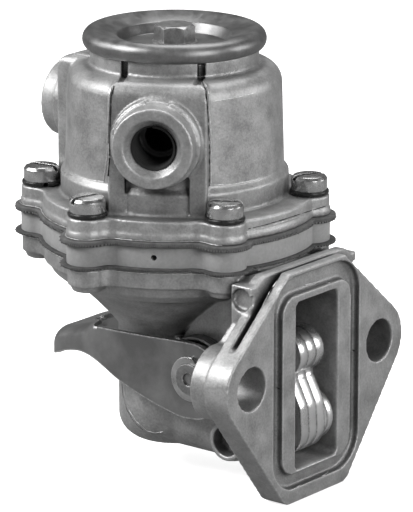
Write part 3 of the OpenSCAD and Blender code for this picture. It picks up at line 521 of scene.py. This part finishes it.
class FuelPumpLook(PropertyGroup):
    """Sizes and tones of the pump's finish."""

    edge_softness: FloatProperty(
        name="Casting softness", description="Grid size at which the castings' edges are rounded",
        default=0.38 * MM, min=0.3 * MM, max=1.0 * MM, unit="LENGTH", precision=5,
    )
    edge_round: FloatProperty(
        name="Part edge radius", description="Rounding of the edges of screws, plates and sheets",
        default=0.18 * MM, min=0.05 * MM, max=0.4 * MM, unit="LENGTH", precision=5,
    )
    thread_pitch: FloatProperty(
        name="Port thread pitch", description="Rise of the port threads over one turn",
        default=1.25 * MM, min=0.8 * MM, max=2.0 * MM, unit="LENGTH", precision=5,
    )
    cast_tone: FloatProperty(
        name="Casting tone", description="Grey value of the castings", default=0.42,
        min=0.1, max=0.9, subtype="FACTOR",
    )
    cap_tone: FloatProperty(
        name="Cap tone", description="Grey value of the pressed cap", default=0.23,
        min=0.05, max=0.9, subtype="FACTOR",
    )
    lever_tone: FloatProperty(
        name="Lever tone", description="Grey value of the primer lever", default=0.33,
        min=0.1, max=0.9, subtype="FACTOR",
    )
    floor_color: FloatVectorProperty(
        name="Floor colour", description="Colour of the floor", default=(0.9, 0.9, 0.9),
        min=0.0, max=1.0, size=3, subtype="COLOR",
    )


# Castings


MOST_TRIANGLES = 190000
CASTING_SLOTS = {"lower_housing": "cast_body", "upper_housing": "cast_cover"}


def soft_casting(node, name, voxel):
    """A casting with all its edges rounded: a merged copy on a fine grid, smoothed."""
    obj = node_copy(node, name)
    grid = obj.modifiers.new("Fine grid", "REMESH")
    grid.mode = "VOXEL"
    grid.voxel_size = voxel
    grid.use_smooth_shade = True
    relax = obj.modifiers.new("Rounded edges", "SMOOTH")
    relax.factor = 0.5
    relax.iterations = 2
    apply_modifiers(obj)
    triangles = 2 * len(obj.data.polygons)
    if triangles > MOST_TRIANGLES:
        thin = obj.modifiers.new("Fewer faces on flats", "DECIMATE")
        thin.ratio = MOST_TRIANGLES / triangles
        apply_modifiers(obj)
    select_only(obj)
    bpy.ops.object.shade_smooth()
    return obj


class FUELPUMP_OT_castings(Operator):
    """Builds both castings with soft edges"""

    bl_idname = "fuel_pump.castings"
    bl_label = "Castings"

    def execute(self, context):
        look = context.scene.fuel_pump
        for node, slot in CASTING_SLOTS.items():
            obj = soft_casting(node, "cast_" + node, look.edge_softness)
            dress(obj, finish("cast"), "housing", [node])
        return {"FINISHED"}


class FUELPUMP_OT_casting_marks(Operator):
    """Lays the thin broken flash, coloured bright as painted highlight, and the dark seam lines of
    the dies, painted as shade, on the castings
    """

    bl_idname = "fuel_pump.casting_marks"
    bl_label = "Casting marks"

    # Lines on each casting in the photograph's pixels: finish, thickness in mm, points. Seam lines
    # are dark as painted shade, flash lines bright as painted highlight
    LINES = {
        "upper_housing": (
            ("flash", 0.2, ((112, 85), (109, 96), (108, 125), (107, 158), (104, 180))),
            ("seam", 0.22, ((114, 86), (111, 97), (110, 125), (109.5, 158), (108, 176))),
            ("flash", 0.16, ((204, 82), (208, 90), (210, 120), (211, 150), (211, 184))),
            ("seam", 0.24, ((202, 82), (206, 91), (208, 120), (209, 150), (209, 186))),
            ("flash", 0.16, ((62, 172), (75, 176), (90, 180), (104, 182))),
            ("flash", 0.14, ((214, 185), (235, 184), (255, 180), (275, 174))),
            ("flash", 0.12, ((215, 101), (235, 98), (255, 93))),
            ("flash", 0.14, ((137, 76), (160, 79), (190, 78), (215, 75), (235, 71))),
            ("seam", 0.12, ((248, 229), (265, 225), (285, 219), (300, 214), (326, 206))),
            ("flash", 0.12, ((246, 232), (265, 227), (285, 221), (301, 216))),
        ),
        "lower_housing": (
            ("seam", 0.07, ((122, 384), (123, 395), (127, 410), (134, 422), (143, 430))),
            ("ridge", 0.14, ((124, 384), (125, 395), (129, 410), (136, 421), (147, 431),
                             (155, 433), (163, 432))),
            ("seam", 0.16, ((278, 371), (277, 387))),
            ("seam", 0.3, ((350, 349), (355, 351))),
            ("seam", 0.3, ((276, 387), (280, 389))),
            ("flash", 0.13, ((246, 338), (254, 322), (262, 307), (271, 289), (277, 281))),
            ("flash", 0.12, ((305, 285), (318, 282), (330, 283), (338, 288))),
            ("flash", 0.14, ((297, 487), (308, 484), (320, 479), (328, 472))),
        ),
    }

    # Fins of flash round a casting's edge, coloured bright as painted highlight: casting,
    # thickness, level and places past it in mm
    FINS = (("lower_housing", 0.2, 23.55, (0.1,)), ("upper_housing", 0.1, 31.45, (0.1, 0.2)))
    ROUND_POINTS = 720
    # Farthest that a fin lies from the axis, and nearest that it comes to the mounting face
    FIN_RADIUS = 39 * MM
    FIN_FRONT = -12 * MM

    # Least distance of a traced point behind the mounting face and from the point before
    LEAST = 0.3 * MM
    PIXELS_PER_POINT = 2.5

    # A line breaks where its points lie this far apart, and by chance
    JUMP = 3 * MM
    BREAK_CHANCE = 0.02

    def round_edge(self, surface, height, push):
        """Points round a casting's edge at a level, a little outside it."""
        points = []
        middle = Vector((AXIS_X, 0, height * MM))
        for k in range(self.ROUND_POINTS + 1):
            turn = math.tau * k / self.ROUND_POINTS
            out = Vector((math.cos(turn), math.sin(turn), 0))
            hit = surface.ray_cast(middle + out * 50 * MM, -out)[0]
            if hit is None or hit.x >= self.FIN_FRONT:
                continue
            if (hit - middle).length < self.FIN_RADIUS:
                points.append(hit + out * push * MM)
        return points

    def traced(self, surface, pixels):
        """Points of a casting under a line drawn in the photograph, about 1 mm apart."""
        eye = Vector(CAMERA_PLACE)
        right, up, back = camera_axes()
        points = []
        for (x0, y0), (x1, y1) in zip(pixels, pixels[1:]):
            count = max(1, round(math.hypot(x1 - x0, y1 - y0) / self.PIXELS_PER_POINT))
            for k in range(count + 1):
                x = x0 + (x1 - x0) * k / count - PHOTO_MIDDLE[0]
                y = y0 + (y1 - y0) * k / count - PHOTO_MIDDLE[1]
                hit = surface.ray_cast(eye, right * x / FOCAL - up * y / FOCAL - back)[0]
                if hit is not None and (not points or (hit - points[-1]).length > self.LEAST):
                    hit.x = min(hit.x, -self.LEAST)
                    points.append(hit)
        return points

    def laid_line(self, points, thickness, rng):
        """A thin uneven bead along points, broken at jumps and here and there."""
        curve = bpy.data.curves.new("line", "CURVE")
        curve.dimensions = "3D"
        curve.bevel_depth = thickness * MM
        curve.bevel_resolution = 1
        curve.use_fill_caps = True
        run = []
        for a, b in zip(points, points[1:] + [None]):
            run.append(a)
            if b is None or (b - a).length > self.JUMP or rng.random() < self.BREAK_CHANCE:
                if len(run) > 1:
                    line = curve.splines.new("POLY")
                    line.points.add(len(run) - 1)
                    for point, place in zip(line.points, run):
                        point.co = (*place, 1)
                        point.radius = rng.uniform(0.45, 1.2)
                run = []
        placed("line", curve)
        bpy.ops.object.convert(target="MESH")
        return bpy.context.object

    def execute(self, context):
        rng = random.Random(SEED)
        surfaces = {node: node_surface(node) for node in CASTING_SLOTS}
        made = {}
        for node, lines in self.LINES.items():
            for look, thickness, pixels in lines:
                points = self.traced(surfaces[node], pixels)
                line = self.laid_line(points, thickness, rng)
                made.setdefault((node, look), []).append(line)
        for node, thickness, height, pushes in self.FINS:
            for push in pushes:
                points = self.round_edge(surfaces[node], height, push)
                made[node, "flash"].append(self.laid_line(points, thickness, rng))
        for (node, look), lines in made.items():
            obj = joined(f"{node}_{look}_lines", lines)
            outward(obj)
            smooth(obj, 60)
            dress(obj, finish(look), "housing")
        return {"FINISHED"}


class FUELPUMP_OT_port_threads(Operator):
    """Cuts the look of a thread into both ports"""

    bl_idname = "fuel_pump.port_threads"
    bl_label = "Port threads"

    SUNK = 0.05 * MM
    DEPTH = 0.55 * MM
    LENGTH = 12.2 * MM

    def execute(self, context):
        pitch = context.scene.fuel_pump.thread_pitch
        root = PORT_BORE / 2 + self.SUNK
        crest = root - self.DEPTH
        for name, turn in (("port_thread_front", FRONT_PORT), ("port_thread_rear", REAR_PORT)):
            mesh = bpy.data.meshes.new(name)
            tooth = bmesh.new()
            shape = ((0.0, root), (pitch * 0.46, crest), (pitch * 0.54, crest), (pitch, root))
            points = [tooth.verts.new((x, 0, r)) for x, r in shape]
            for a, b in zip(points, points[1:]):
                tooth.edges.new((a, b))
            tooth.to_mesh(mesh)
            tooth.free()
            obj = placed(name, mesh)
            screw = obj.modifiers.new("Thread", "SCREW")
            screw.axis = "X"
            screw.angle = math.tau
            screw.steps = screw.render_steps = 40
            screw.screw_offset = pitch
            screw.iterations = 8
            screw.use_merge_vertices = True
            screw.merge_threshold = MERGE / 2
            apply_modifiers(obj)
            obj.matrix_world = (
                Matrix.Translation((AXIS_X, 0, PORT_Z)) @ Matrix.Rotation(turn, 4, "Z")
                @ Matrix.Translation((PORT_REACH - self.LENGTH, 0, 0))
            )
            settle(obj)
            outward(obj)
            # The thread lines a bore, so its faces look at the port's axis
            bpy.ops.object.mode_set(mode="EDIT")
            bpy.ops.mesh.select_all(action="SELECT")
            bpy.ops.mesh.flip_normals()
            bpy.ops.object.mode_set(mode="OBJECT")
            smooth(obj, 30)
            # The thread takes the bore's finish, painted black as shade
            dress(obj, finish("bore"), "housing")
        return {"FINISHED"}


# Joint


def frayed_edge(node, name, count):
    """Short cut fibres that stick out of the edge of a fabric layer."""
    rng = random.Random(SEED + count)
    surface = node_surface(node)
    low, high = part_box(node)
    mesh = bpy.data.meshes.new(name)
    fibres = bmesh.new()
    for i in range(count):
        turn = math.tau * (i + rng.uniform(-0.4, 0.4)) / count
        height = rng.uniform(low.z + 0.1 * (high.z - low.z), low.z + 0.7 * (high.z - low.z))
        out = Vector((math.cos(turn), math.sin(turn), 0))
        far = Vector((AXIS_X, 0, height)) + out * 50 * MM
        hit, normal, _, _ = surface.ray_cast(far, -out)
        if hit is None:
            continue
        length = rng.uniform(0.15, 0.5) * MM
        radius = rng.uniform(0.07, 0.14) * MM
        lean = Vector((rng.uniform(-0.5, 0.5), rng.uniform(-0.5, 0.5), rng.uniform(-0.6, 0.3)))
        aim = (normal + lean).normalized()
        place = Matrix.Translation(hit + aim * (length / 2 - 0.1 * MM))
        place = place @ aim.to_track_quat("Z", "Y").to_matrix().to_4x4()
        bmesh.ops.create_cone(
            fibres, cap_ends=True, segments=5, radius1=radius, radius2=radius * 0.6,
            depth=length, matrix=place,
        )
    fibres.to_mesh(mesh)
    fibres.free()
    return placed(name, mesh)


class FUELPUMP_OT_joint(Operator):
    """Builds the spacer ring and the two fabric layers with their cut edges"""

    bl_idname = "fuel_pump.joint"
    bl_label = "Diaphragm joint"

    def execute(self, context):
        ring = node_copy("spacer_ring", "nylon_spacer")
        bevel_edges(ring, 0.22 * MM)
        smooth(ring)
        dress(ring, finish("nylon"), "housing", ["spacer_ring"])
        for side, count in (("upper", 420), ("lower", 300)):
            node = side + "_diaphragm"
            layer = node_copy(node, side + "_fabric")
            bevel_edges(layer, 0.2 * MM, 3, 40)
            smooth(layer, 50)
            dress(layer, finish("fabric_" + side), "housing", [node])
            fibres = frayed_edge(node, side + "_fabric_fibres", count)
            dress(fibres, finish("fibre"), "housing")
        return {"FINISHED"}


# Fasteners


class FUELPUMP_OT_fasteners(Operator):
    """Builds the slotted screws, their washers and the cap's hex bolt"""

    bl_idname = "fuel_pump.fasteners"
    bl_label = "Screws, washers and bolt"

    def execute(self, context):
        edge = context.scene.fuel_pump.edge_round
        for node, name, look, slot in (
            ("cover_screws", "slotted_screws", "bright", "screws"),
            ("spring_washers", "split_washers", "black", "black_washers"),
            ("cap_bolt", "hex_bolt", "bolt", "cap_bolt_steel"),
            ("cap_washer", "plain_washer", "bolt", "washer_steel"),
        ):
            obj = node_copy(node, name)
            bevel_edges(obj, edge)
            smooth(obj, 35)
            dress(obj, finish(look), "housing", [node])
        return {"FINISHED"}


class FUELPUMP_OT_cap(Operator):
    """Builds the pressed cap with its rolled rim"""

    bl_idname = "fuel_pump.cap"
    bl_label = "Top cap"

    def execute(self, context):
        obj = node_copy("top_cap", "pressed_cap", 0.5)
        bevel_edges(obj, 0.5 * MM, 4, 25)
        smooth(obj)
        dress(obj, finish("cap"), "housing", ["top_cap"])
        return {"FINISHED"}


# Rocker and primer


def level(table, x):
    """Height at x on a smooth curve through the points (x, height) of a table."""
    def slope(i):
        a, b = table[max(i - 1, 0)], table[min(i + 1, len(table) - 1)]
        return (b[1] - a[1]) / (b[0] - a[0])

    if x >= table[0][0]:
        return table[0][1]
    if x <= table[-1][0]:
        return table[-1][1]
    i = next(k for k in range(len(table) - 1) if table[k + 1][0] <= x)
    (x0, z0), (x1, z1) = table[i], table[i + 1]
    t, span = (x - x0) / (x1 - x0), x1 - x0
    return (
        z0 * (1 - t) ** 2 * (1 + 2 * t) + z1 * t * t * (3 - 2 * t)
        + span * slope(i) * t * (1 - t) ** 2 - span * slope(i + 1) * t * t * (1 - t)
    )


def rounded_path(corners, step):
    """Points along straight lines whose inner corners are arcs. A corner is (x, y, radius)."""
    points = [Vector(corners[0][:2])]
    for before, here, after in zip(corners, corners[1:], corners[2:]):
        corner, radius = Vector(here[:2]), here[2]
        a = (Vector(before[:2]) - corner).normalized()
        b = (Vector(after[:2]) - corner).normalized()
        half = a.angle(b) / 2
        reach = radius / math.tan(half)
        start = corner + a * reach
        middle = corner + (a + b).normalized() * (radius / math.sin(half))
        sweep = math.pi - 2 * half
        turn = -1 if a.cross(b) > 0 else 1
        count = max(3, round(radius * sweep / step))
        for k in range(count + 1):
            spin = Matrix.Rotation(turn * sweep * k / count, 2)
            points.append(middle + spin @ (start - middle))
    points.append(Vector(corners[-1][:2]))
    filled = [points[0]]
    for a, b in zip(points, points[1:]):
        count = max(1, round((b - a).length / step))
        filled += [a.lerp(b, k / count) for k in range(1, count + 1)]
    return filled


class FUELPUMP_OT_rocker(Operator):
    """Builds the four bright rocker plates with rounded edges"""

    bl_idname = "fuel_pump.rocker"
    bl_label = "Rocker plates"

    def execute(self, context):
        for i in (1, 2, 3, 4):
            node = f"rocker_plate_{i}"
            obj = node_copy(node, f"bright_plate_{i}", 3.0)
            bevel_edges(obj, 0.14 * MM, 2, 50)
            smooth(obj)
            dress(obj, finish("rocker"), "rocker", [node])
        return {"FINISHED"}


class FUELPUMP_OT_primer(Operator):
    """Builds the hand primer: pressed lever, shaft and end plates"""

    bl_idname = "fuel_pump.primer"
    bl_label = "Hand primer"

    # All in mm. Levels of the arm's upper and lower edges at places behind the mounting face
    TOP = ((-24.6, 4.4), (-30, 4.2), (-38.4, 3.7), (-47.7, 3.3), (-54, 3.1), (-58, 2.4),
           (-62, 1.2), (-67, -0.5), (-71, -1.6), (-74.5, -2.7))
    LOW = ((-24.6, -14.2), (-27, -14.4), (-30, -14), (-36, -12.6), (-42, -10.8), (-48, -8.5),
           (-51, -6.9), (-54, -5.5), (-57, -4.9), (-61, -4.9), (-65, -5.7), (-68.5, -6.8),
           (-71.5, -8.1), (-74.5, -9))
    END_RADIUS = 9.3
    END_MIDDLE = -4.9
    SHEET = 1.3
    # The walls turn inwards at ELBOW_X and meet the tip, whose corners are rounded
    ELBOW_X = -54
    ELBOW_RADIUS = 14
    TIP_HALF = 9.9
    TIP_RADIUS = 4.6
    # The web grows out of the walls over WEB_SPAN, up to the rim of the slot
    WEB_SPAN = 8
    BEND_RADIUS = 3.8
    SLOT_MIDDLE = Vector((-60, 0))
    SLOT_RADIUS = 6.6
    # Grid of the sheet
    STEP = 0.9
    FINE_STEP = 0.02
    WALL_ROWS = 8
    BEND_ROWS = 6
    WEB_ROWS = 6

    def edges(self, x):
        """Upper and lower edge of the arm at x, round at its end."""
        if x <= self.TOP[0][0]:
            return level(self.TOP, x), level(self.LOW, x)
        across = x - self.TOP[0][0]
        half = math.sqrt(max(self.END_RADIUS ** 2 - across ** 2, 0.01))
        return self.END_MIDDLE + half, self.END_MIDDLE - half

    def lever_point(self, station, row):
        """Point of the lever's outer face: rows up the wall, round the bend, across the web."""
        top, low = self.edges(station.x)
        t = min(max((self.ELBOW_X - station.x) / self.WEB_SPAN, 0), 1)
        out = station - self.SLOT_MIDDLE
        rim = self.SLOT_MIDDLE + out.normalized() * self.SLOT_RADIUS
        web = (rim - station) * t * t * (3 - 2 * t)
        bend = min(0.7 * web.length, self.BEND_RADIUS)
        if row <= self.WALL_ROWS:
            z = low + (top - bend - low) * row / self.WALL_ROWS
            return Vector((station.x, station.y, z))
        turn = min((row - self.WALL_ROWS) / self.BEND_ROWS, 1) * math.pi / 2
        flat = max(row - self.WALL_ROWS - self.BEND_ROWS, 0) / self.WEB_ROWS
        depth = bend * (1 - math.cos(turn)) + (web.length - bend) * flat
        place = station + web.normalized() * depth
        return Vector((place.x, place.y, self.edges(place.x)[0] - bend * (1 - math.sin(turn))))

    def lever_sheet(self):
        """The bent sheet of the lever, drawn on a grid that follows its plan."""
        low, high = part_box("primer_lever")
        tip, width = low.x / MM, high.y / MM
        tail = self.TOP[0][0] + self.END_RADIUS - self.FINE_STEP
        half = (
            (tail, -width, 0), (self.ELBOW_X, -width, self.ELBOW_RADIUS),
            (tip, -self.TIP_HALF, self.TIP_RADIUS),
        )
        other = [(x, -y, radius) for x, y, radius in reversed(half)]
        plan = rounded_path([*half, *other], self.STEP)
        fine = [tail - self.FINE_STEP * k * k for k in range(1, 7)]
        plan = [plan[0], *(Vector((x, -width)) for x in fine), *plan[1:-1],
                *(Vector((x, width)) for x in reversed(fine)), plan[-1]]
        rows = self.WALL_ROWS + self.BEND_ROWS + self.WEB_ROWS
        bpy.ops.mesh.primitive_grid_add(x_subdivisions=len(plan) - 1, y_subdivisions=rows, size=2)
        obj = named("pressed_lever")
        for vertex in obj.data.vertices:
            i = round((vertex.co.x + 1) / 2 * (len(plan) - 1))
            row = round((vertex.co.y + 1) / 2 * rows)
            vertex.co = self.lever_point(plan[i], row) * MM
        close = obj.modifiers.new("Close points", "WELD")
        close.merge_threshold = 0.12 * MM
        apply_modifiers(obj)
        return obj

    def execute(self, context):
        edge = context.scene.fuel_pump.edge_round
        lever = self.lever_sheet()
        outward(lever)
        wall = lever.modifiers.new("Sheet", "SOLIDIFY")
        wall.thickness = self.SHEET * MM
        wall.offset = -1
        apply_modifiers(lever)
        outward(lever)
        bevel_edges(lever, edge, 3, 50)
        smooth(lever, 35)
        dress(lever, finish("lever"), "primer", ["primer_lever"])
        for node, name, look, slot in (
            ("primer_shaft", "peened_shaft", "shaft", "shaft_steel"),
            ("primer_end_plates", "flat_sided_plates", "plate", "end_plate_steel"),
        ):
            obj = node_copy(node, name)
            bevel_edges(obj, edge)
            smooth(obj)
            dress(obj, finish(look), "primer", [node])
        return {"FINISHED"}


class FUELPUMP_OT_inner_parts(Operator):
    """Gives the parts that keep their CAD shape their finishes"""

    bl_idname = "fuel_pump.inner_parts"
    bl_label = "Springs, valves and inner parts"

    FINISHES = {
        "rubber": ("cap_seal", "rod_seal"),
        "brass": ("filter_gauze", "inlet_valve_seat", "inlet_valve_cage", "outlet_valve_seat",
                  "outlet_valve_cage", "rocker_bush"),
        "disc": ("inlet_valve_disc", "outlet_valve_disc"),
        "wire": ("primer_spring",),
        "steel": ("inlet_valve_spring", "outlet_valve_spring", "pull_rod", "rod_nut",
                  "upper_plate", "plate_spacer", "lower_plate", "main_spring", "seal_retainer",
                  "rocker_rivets", "rocker_pin", "rocker_spring"),
    }

    def execute(self, context):
        for look, nodes in self.FINISHES.items():
            for node in nodes:
                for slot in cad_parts[node].material_slots:
                    slot.material = finish(look)
        return {"FINISHED"}


# Stage


def soft_lamp(name, place, aim, size, power):
    """A large soft lamp that looks at a point."""
    bpy.ops.object.light_add(type="AREA", location=place)
    lamp = bpy.context.object
    lamp.name = name
    lamp.data.shape = "RECTANGLE"
    lamp.data.size, lamp.data.size_y = size
    lamp.data.energy = power
    lamp.rotation_euler = (Vector(aim) - Vector(place)).to_track_quat("-Z", "Y").to_euler()


def floor_material(color):
    """Floor that the camera sees nearly white, with the shadow kept, and the pump's metal dark."""
    material, tree, bounce = new_material("Pale floor")
    seen = tree.nodes.new("ShaderNodeBsdfPrincipled")
    for shader, tone in ((bounce, grey(0.1)), (seen, (*color, 1))):
        shader.inputs["Base Color"].default_value = tone
        shader.inputs["Roughness"].default_value = 0.9
        shader.inputs["Specular IOR Level"].default_value = 0.0
    seen.inputs["Emission Color"].default_value = (1, 1, 1, 1)
    seen.inputs["Emission Strength"].default_value = 0.8
    path = tree.nodes.new("ShaderNodeLightPath").outputs
    mirrored = combine(tree, "MULTIPLY", path["Is Glossy Ray"], 0.15)
    rays = combine(tree, "MAXIMUM", path["Is Camera Ray"], mirrored)
    rays = combine(tree, "MAXIMUM", rays, path["Is Transmission Ray"])
    pick = tree.nodes.new("ShaderNodeMixShader")
    feed(tree, pick.inputs[0], rays)
    tree.links.new(bounce.outputs[0], pick.inputs[1])
    tree.links.new(seen.outputs[0], pick.inputs[2])
    tree.links.new(pick.outputs[0], tree.nodes["Material Output"].inputs["Surface"])
    return material


class FUELPUMP_OT_stage(Operator):
    """Adds the floor, the lamps, the world and the camera"""

    bl_idname = "fuel_pump.stage"
    bl_label = "Stage"

    AIM = (-0.035, 0, 0.02)
    # Lamps: name, place, size in metres, power in watts
    LAMPS = (
        ("key_lamp", (-0.42, -0.56, 0.58), (0.4, 0.4), 6.1),
        ("side_lamp", (0.75, -0.2, 0.3), (0.35, 0.5), 3.0),
        ("left_lamp", (-0.7, -0.3, 0.35), (0.25, 0.4), 1.4),
        ("right_lamp", (0.6, 0.5, 0.24), (0.25, 0.35), 1.7),
        ("top_lamp", (-0.1, 0.25, 0.75), (0.6, 0.4), 2.9),
    )

    def execute(self, context):
        bpy.ops.mesh.primitive_plane_add(size=6, location=(0, 0, CAD_BOX[0].z - 0.02 * MM))
        floor = named("pale_floor")
        settle(floor)
        floor.data.materials.append(floor_material(context.scene.fuel_pump.floor_color))
        for name, place, size, power in self.LAMPS:
            soft_lamp(name, place, self.AIM, size, power)
        world = bpy.data.worlds.new("Pale room")
        world.use_nodes = True
        room = world.node_tree.nodes["Background"].inputs
        room["Color"].default_value = (1, 1, 1, 1)
        room["Strength"].default_value = 0.17
        context.scene.world = world
        self.add_camera(context)
        context.scene.view_settings.view_transform = "Standard"
        return {"FINISHED"}

    def add_camera(self, context):
        """Camera at the photograph's angle."""
        right, up, back = camera_axes()
        bpy.ops.object.camera_add(location=CAMERA_PLACE)
        camera = context.object
        camera.name = "photo_camera"
        camera.data.lens = SENSOR * FOCAL / PHOTO_SIDE
        camera.data.sensor_width = SENSOR
        camera.data.clip_start, camera.data.clip_end = 0.01, 20
        turn = Matrix((right, up, back)).transposed()
        camera.rotation_euler = turn.to_euler()
        context.scene.camera = camera


class FUELPUMP_PT_panel(Panel):
    """Lists the pump's pieces and settings"""

    bl_idname = "FUELPUMP_PT_panel"
    bl_label = "Mechanical fuel pump"
    bl_space_type = "VIEW_3D"
    bl_region_type = "UI"
    bl_category = "Fuel pump"

    def draw(self, context):
        look = context.scene.fuel_pump
        for name in FuelPumpLook.__annotations__:
            self.layout.prop(look, name)
        for step in STEPS:
            self.layout.operator(step.bl_idname)


STEPS = (
    FUELPUMP_OT_castings, FUELPUMP_OT_casting_marks, FUELPUMP_OT_port_threads,
    FUELPUMP_OT_joint, FUELPUMP_OT_fasteners, FUELPUMP_OT_cap, FUELPUMP_OT_rocker,
    FUELPUMP_OT_primer, FUELPUMP_OT_inner_parts, FUELPUMP_OT_stage,
)
CLASSES = (FuelPumpLook, *STEPS, FUELPUMP_PT_panel)


def register():
    """Registers the classes and the scene's settings."""
    for cls in CLASSES:
        bpy.utils.register_class(cls)
    bpy.types.Scene.fuel_pump = PointerProperty(type=FuelPumpLook)


def unregister():
    """Takes the settings and the classes away again."""
    del bpy.types.Scene.fuel_pump
    for cls in reversed(CLASSES):
        bpy.utils.unregister_class(cls)


def main():
    """Registers the classes and builds every piece in order."""
    register()
    for step in STEPS:
        group, name = step.bl_idname.split(".")
        getattr(getattr(bpy.ops, group), name)()


if __name__ == "__main__":
    main()
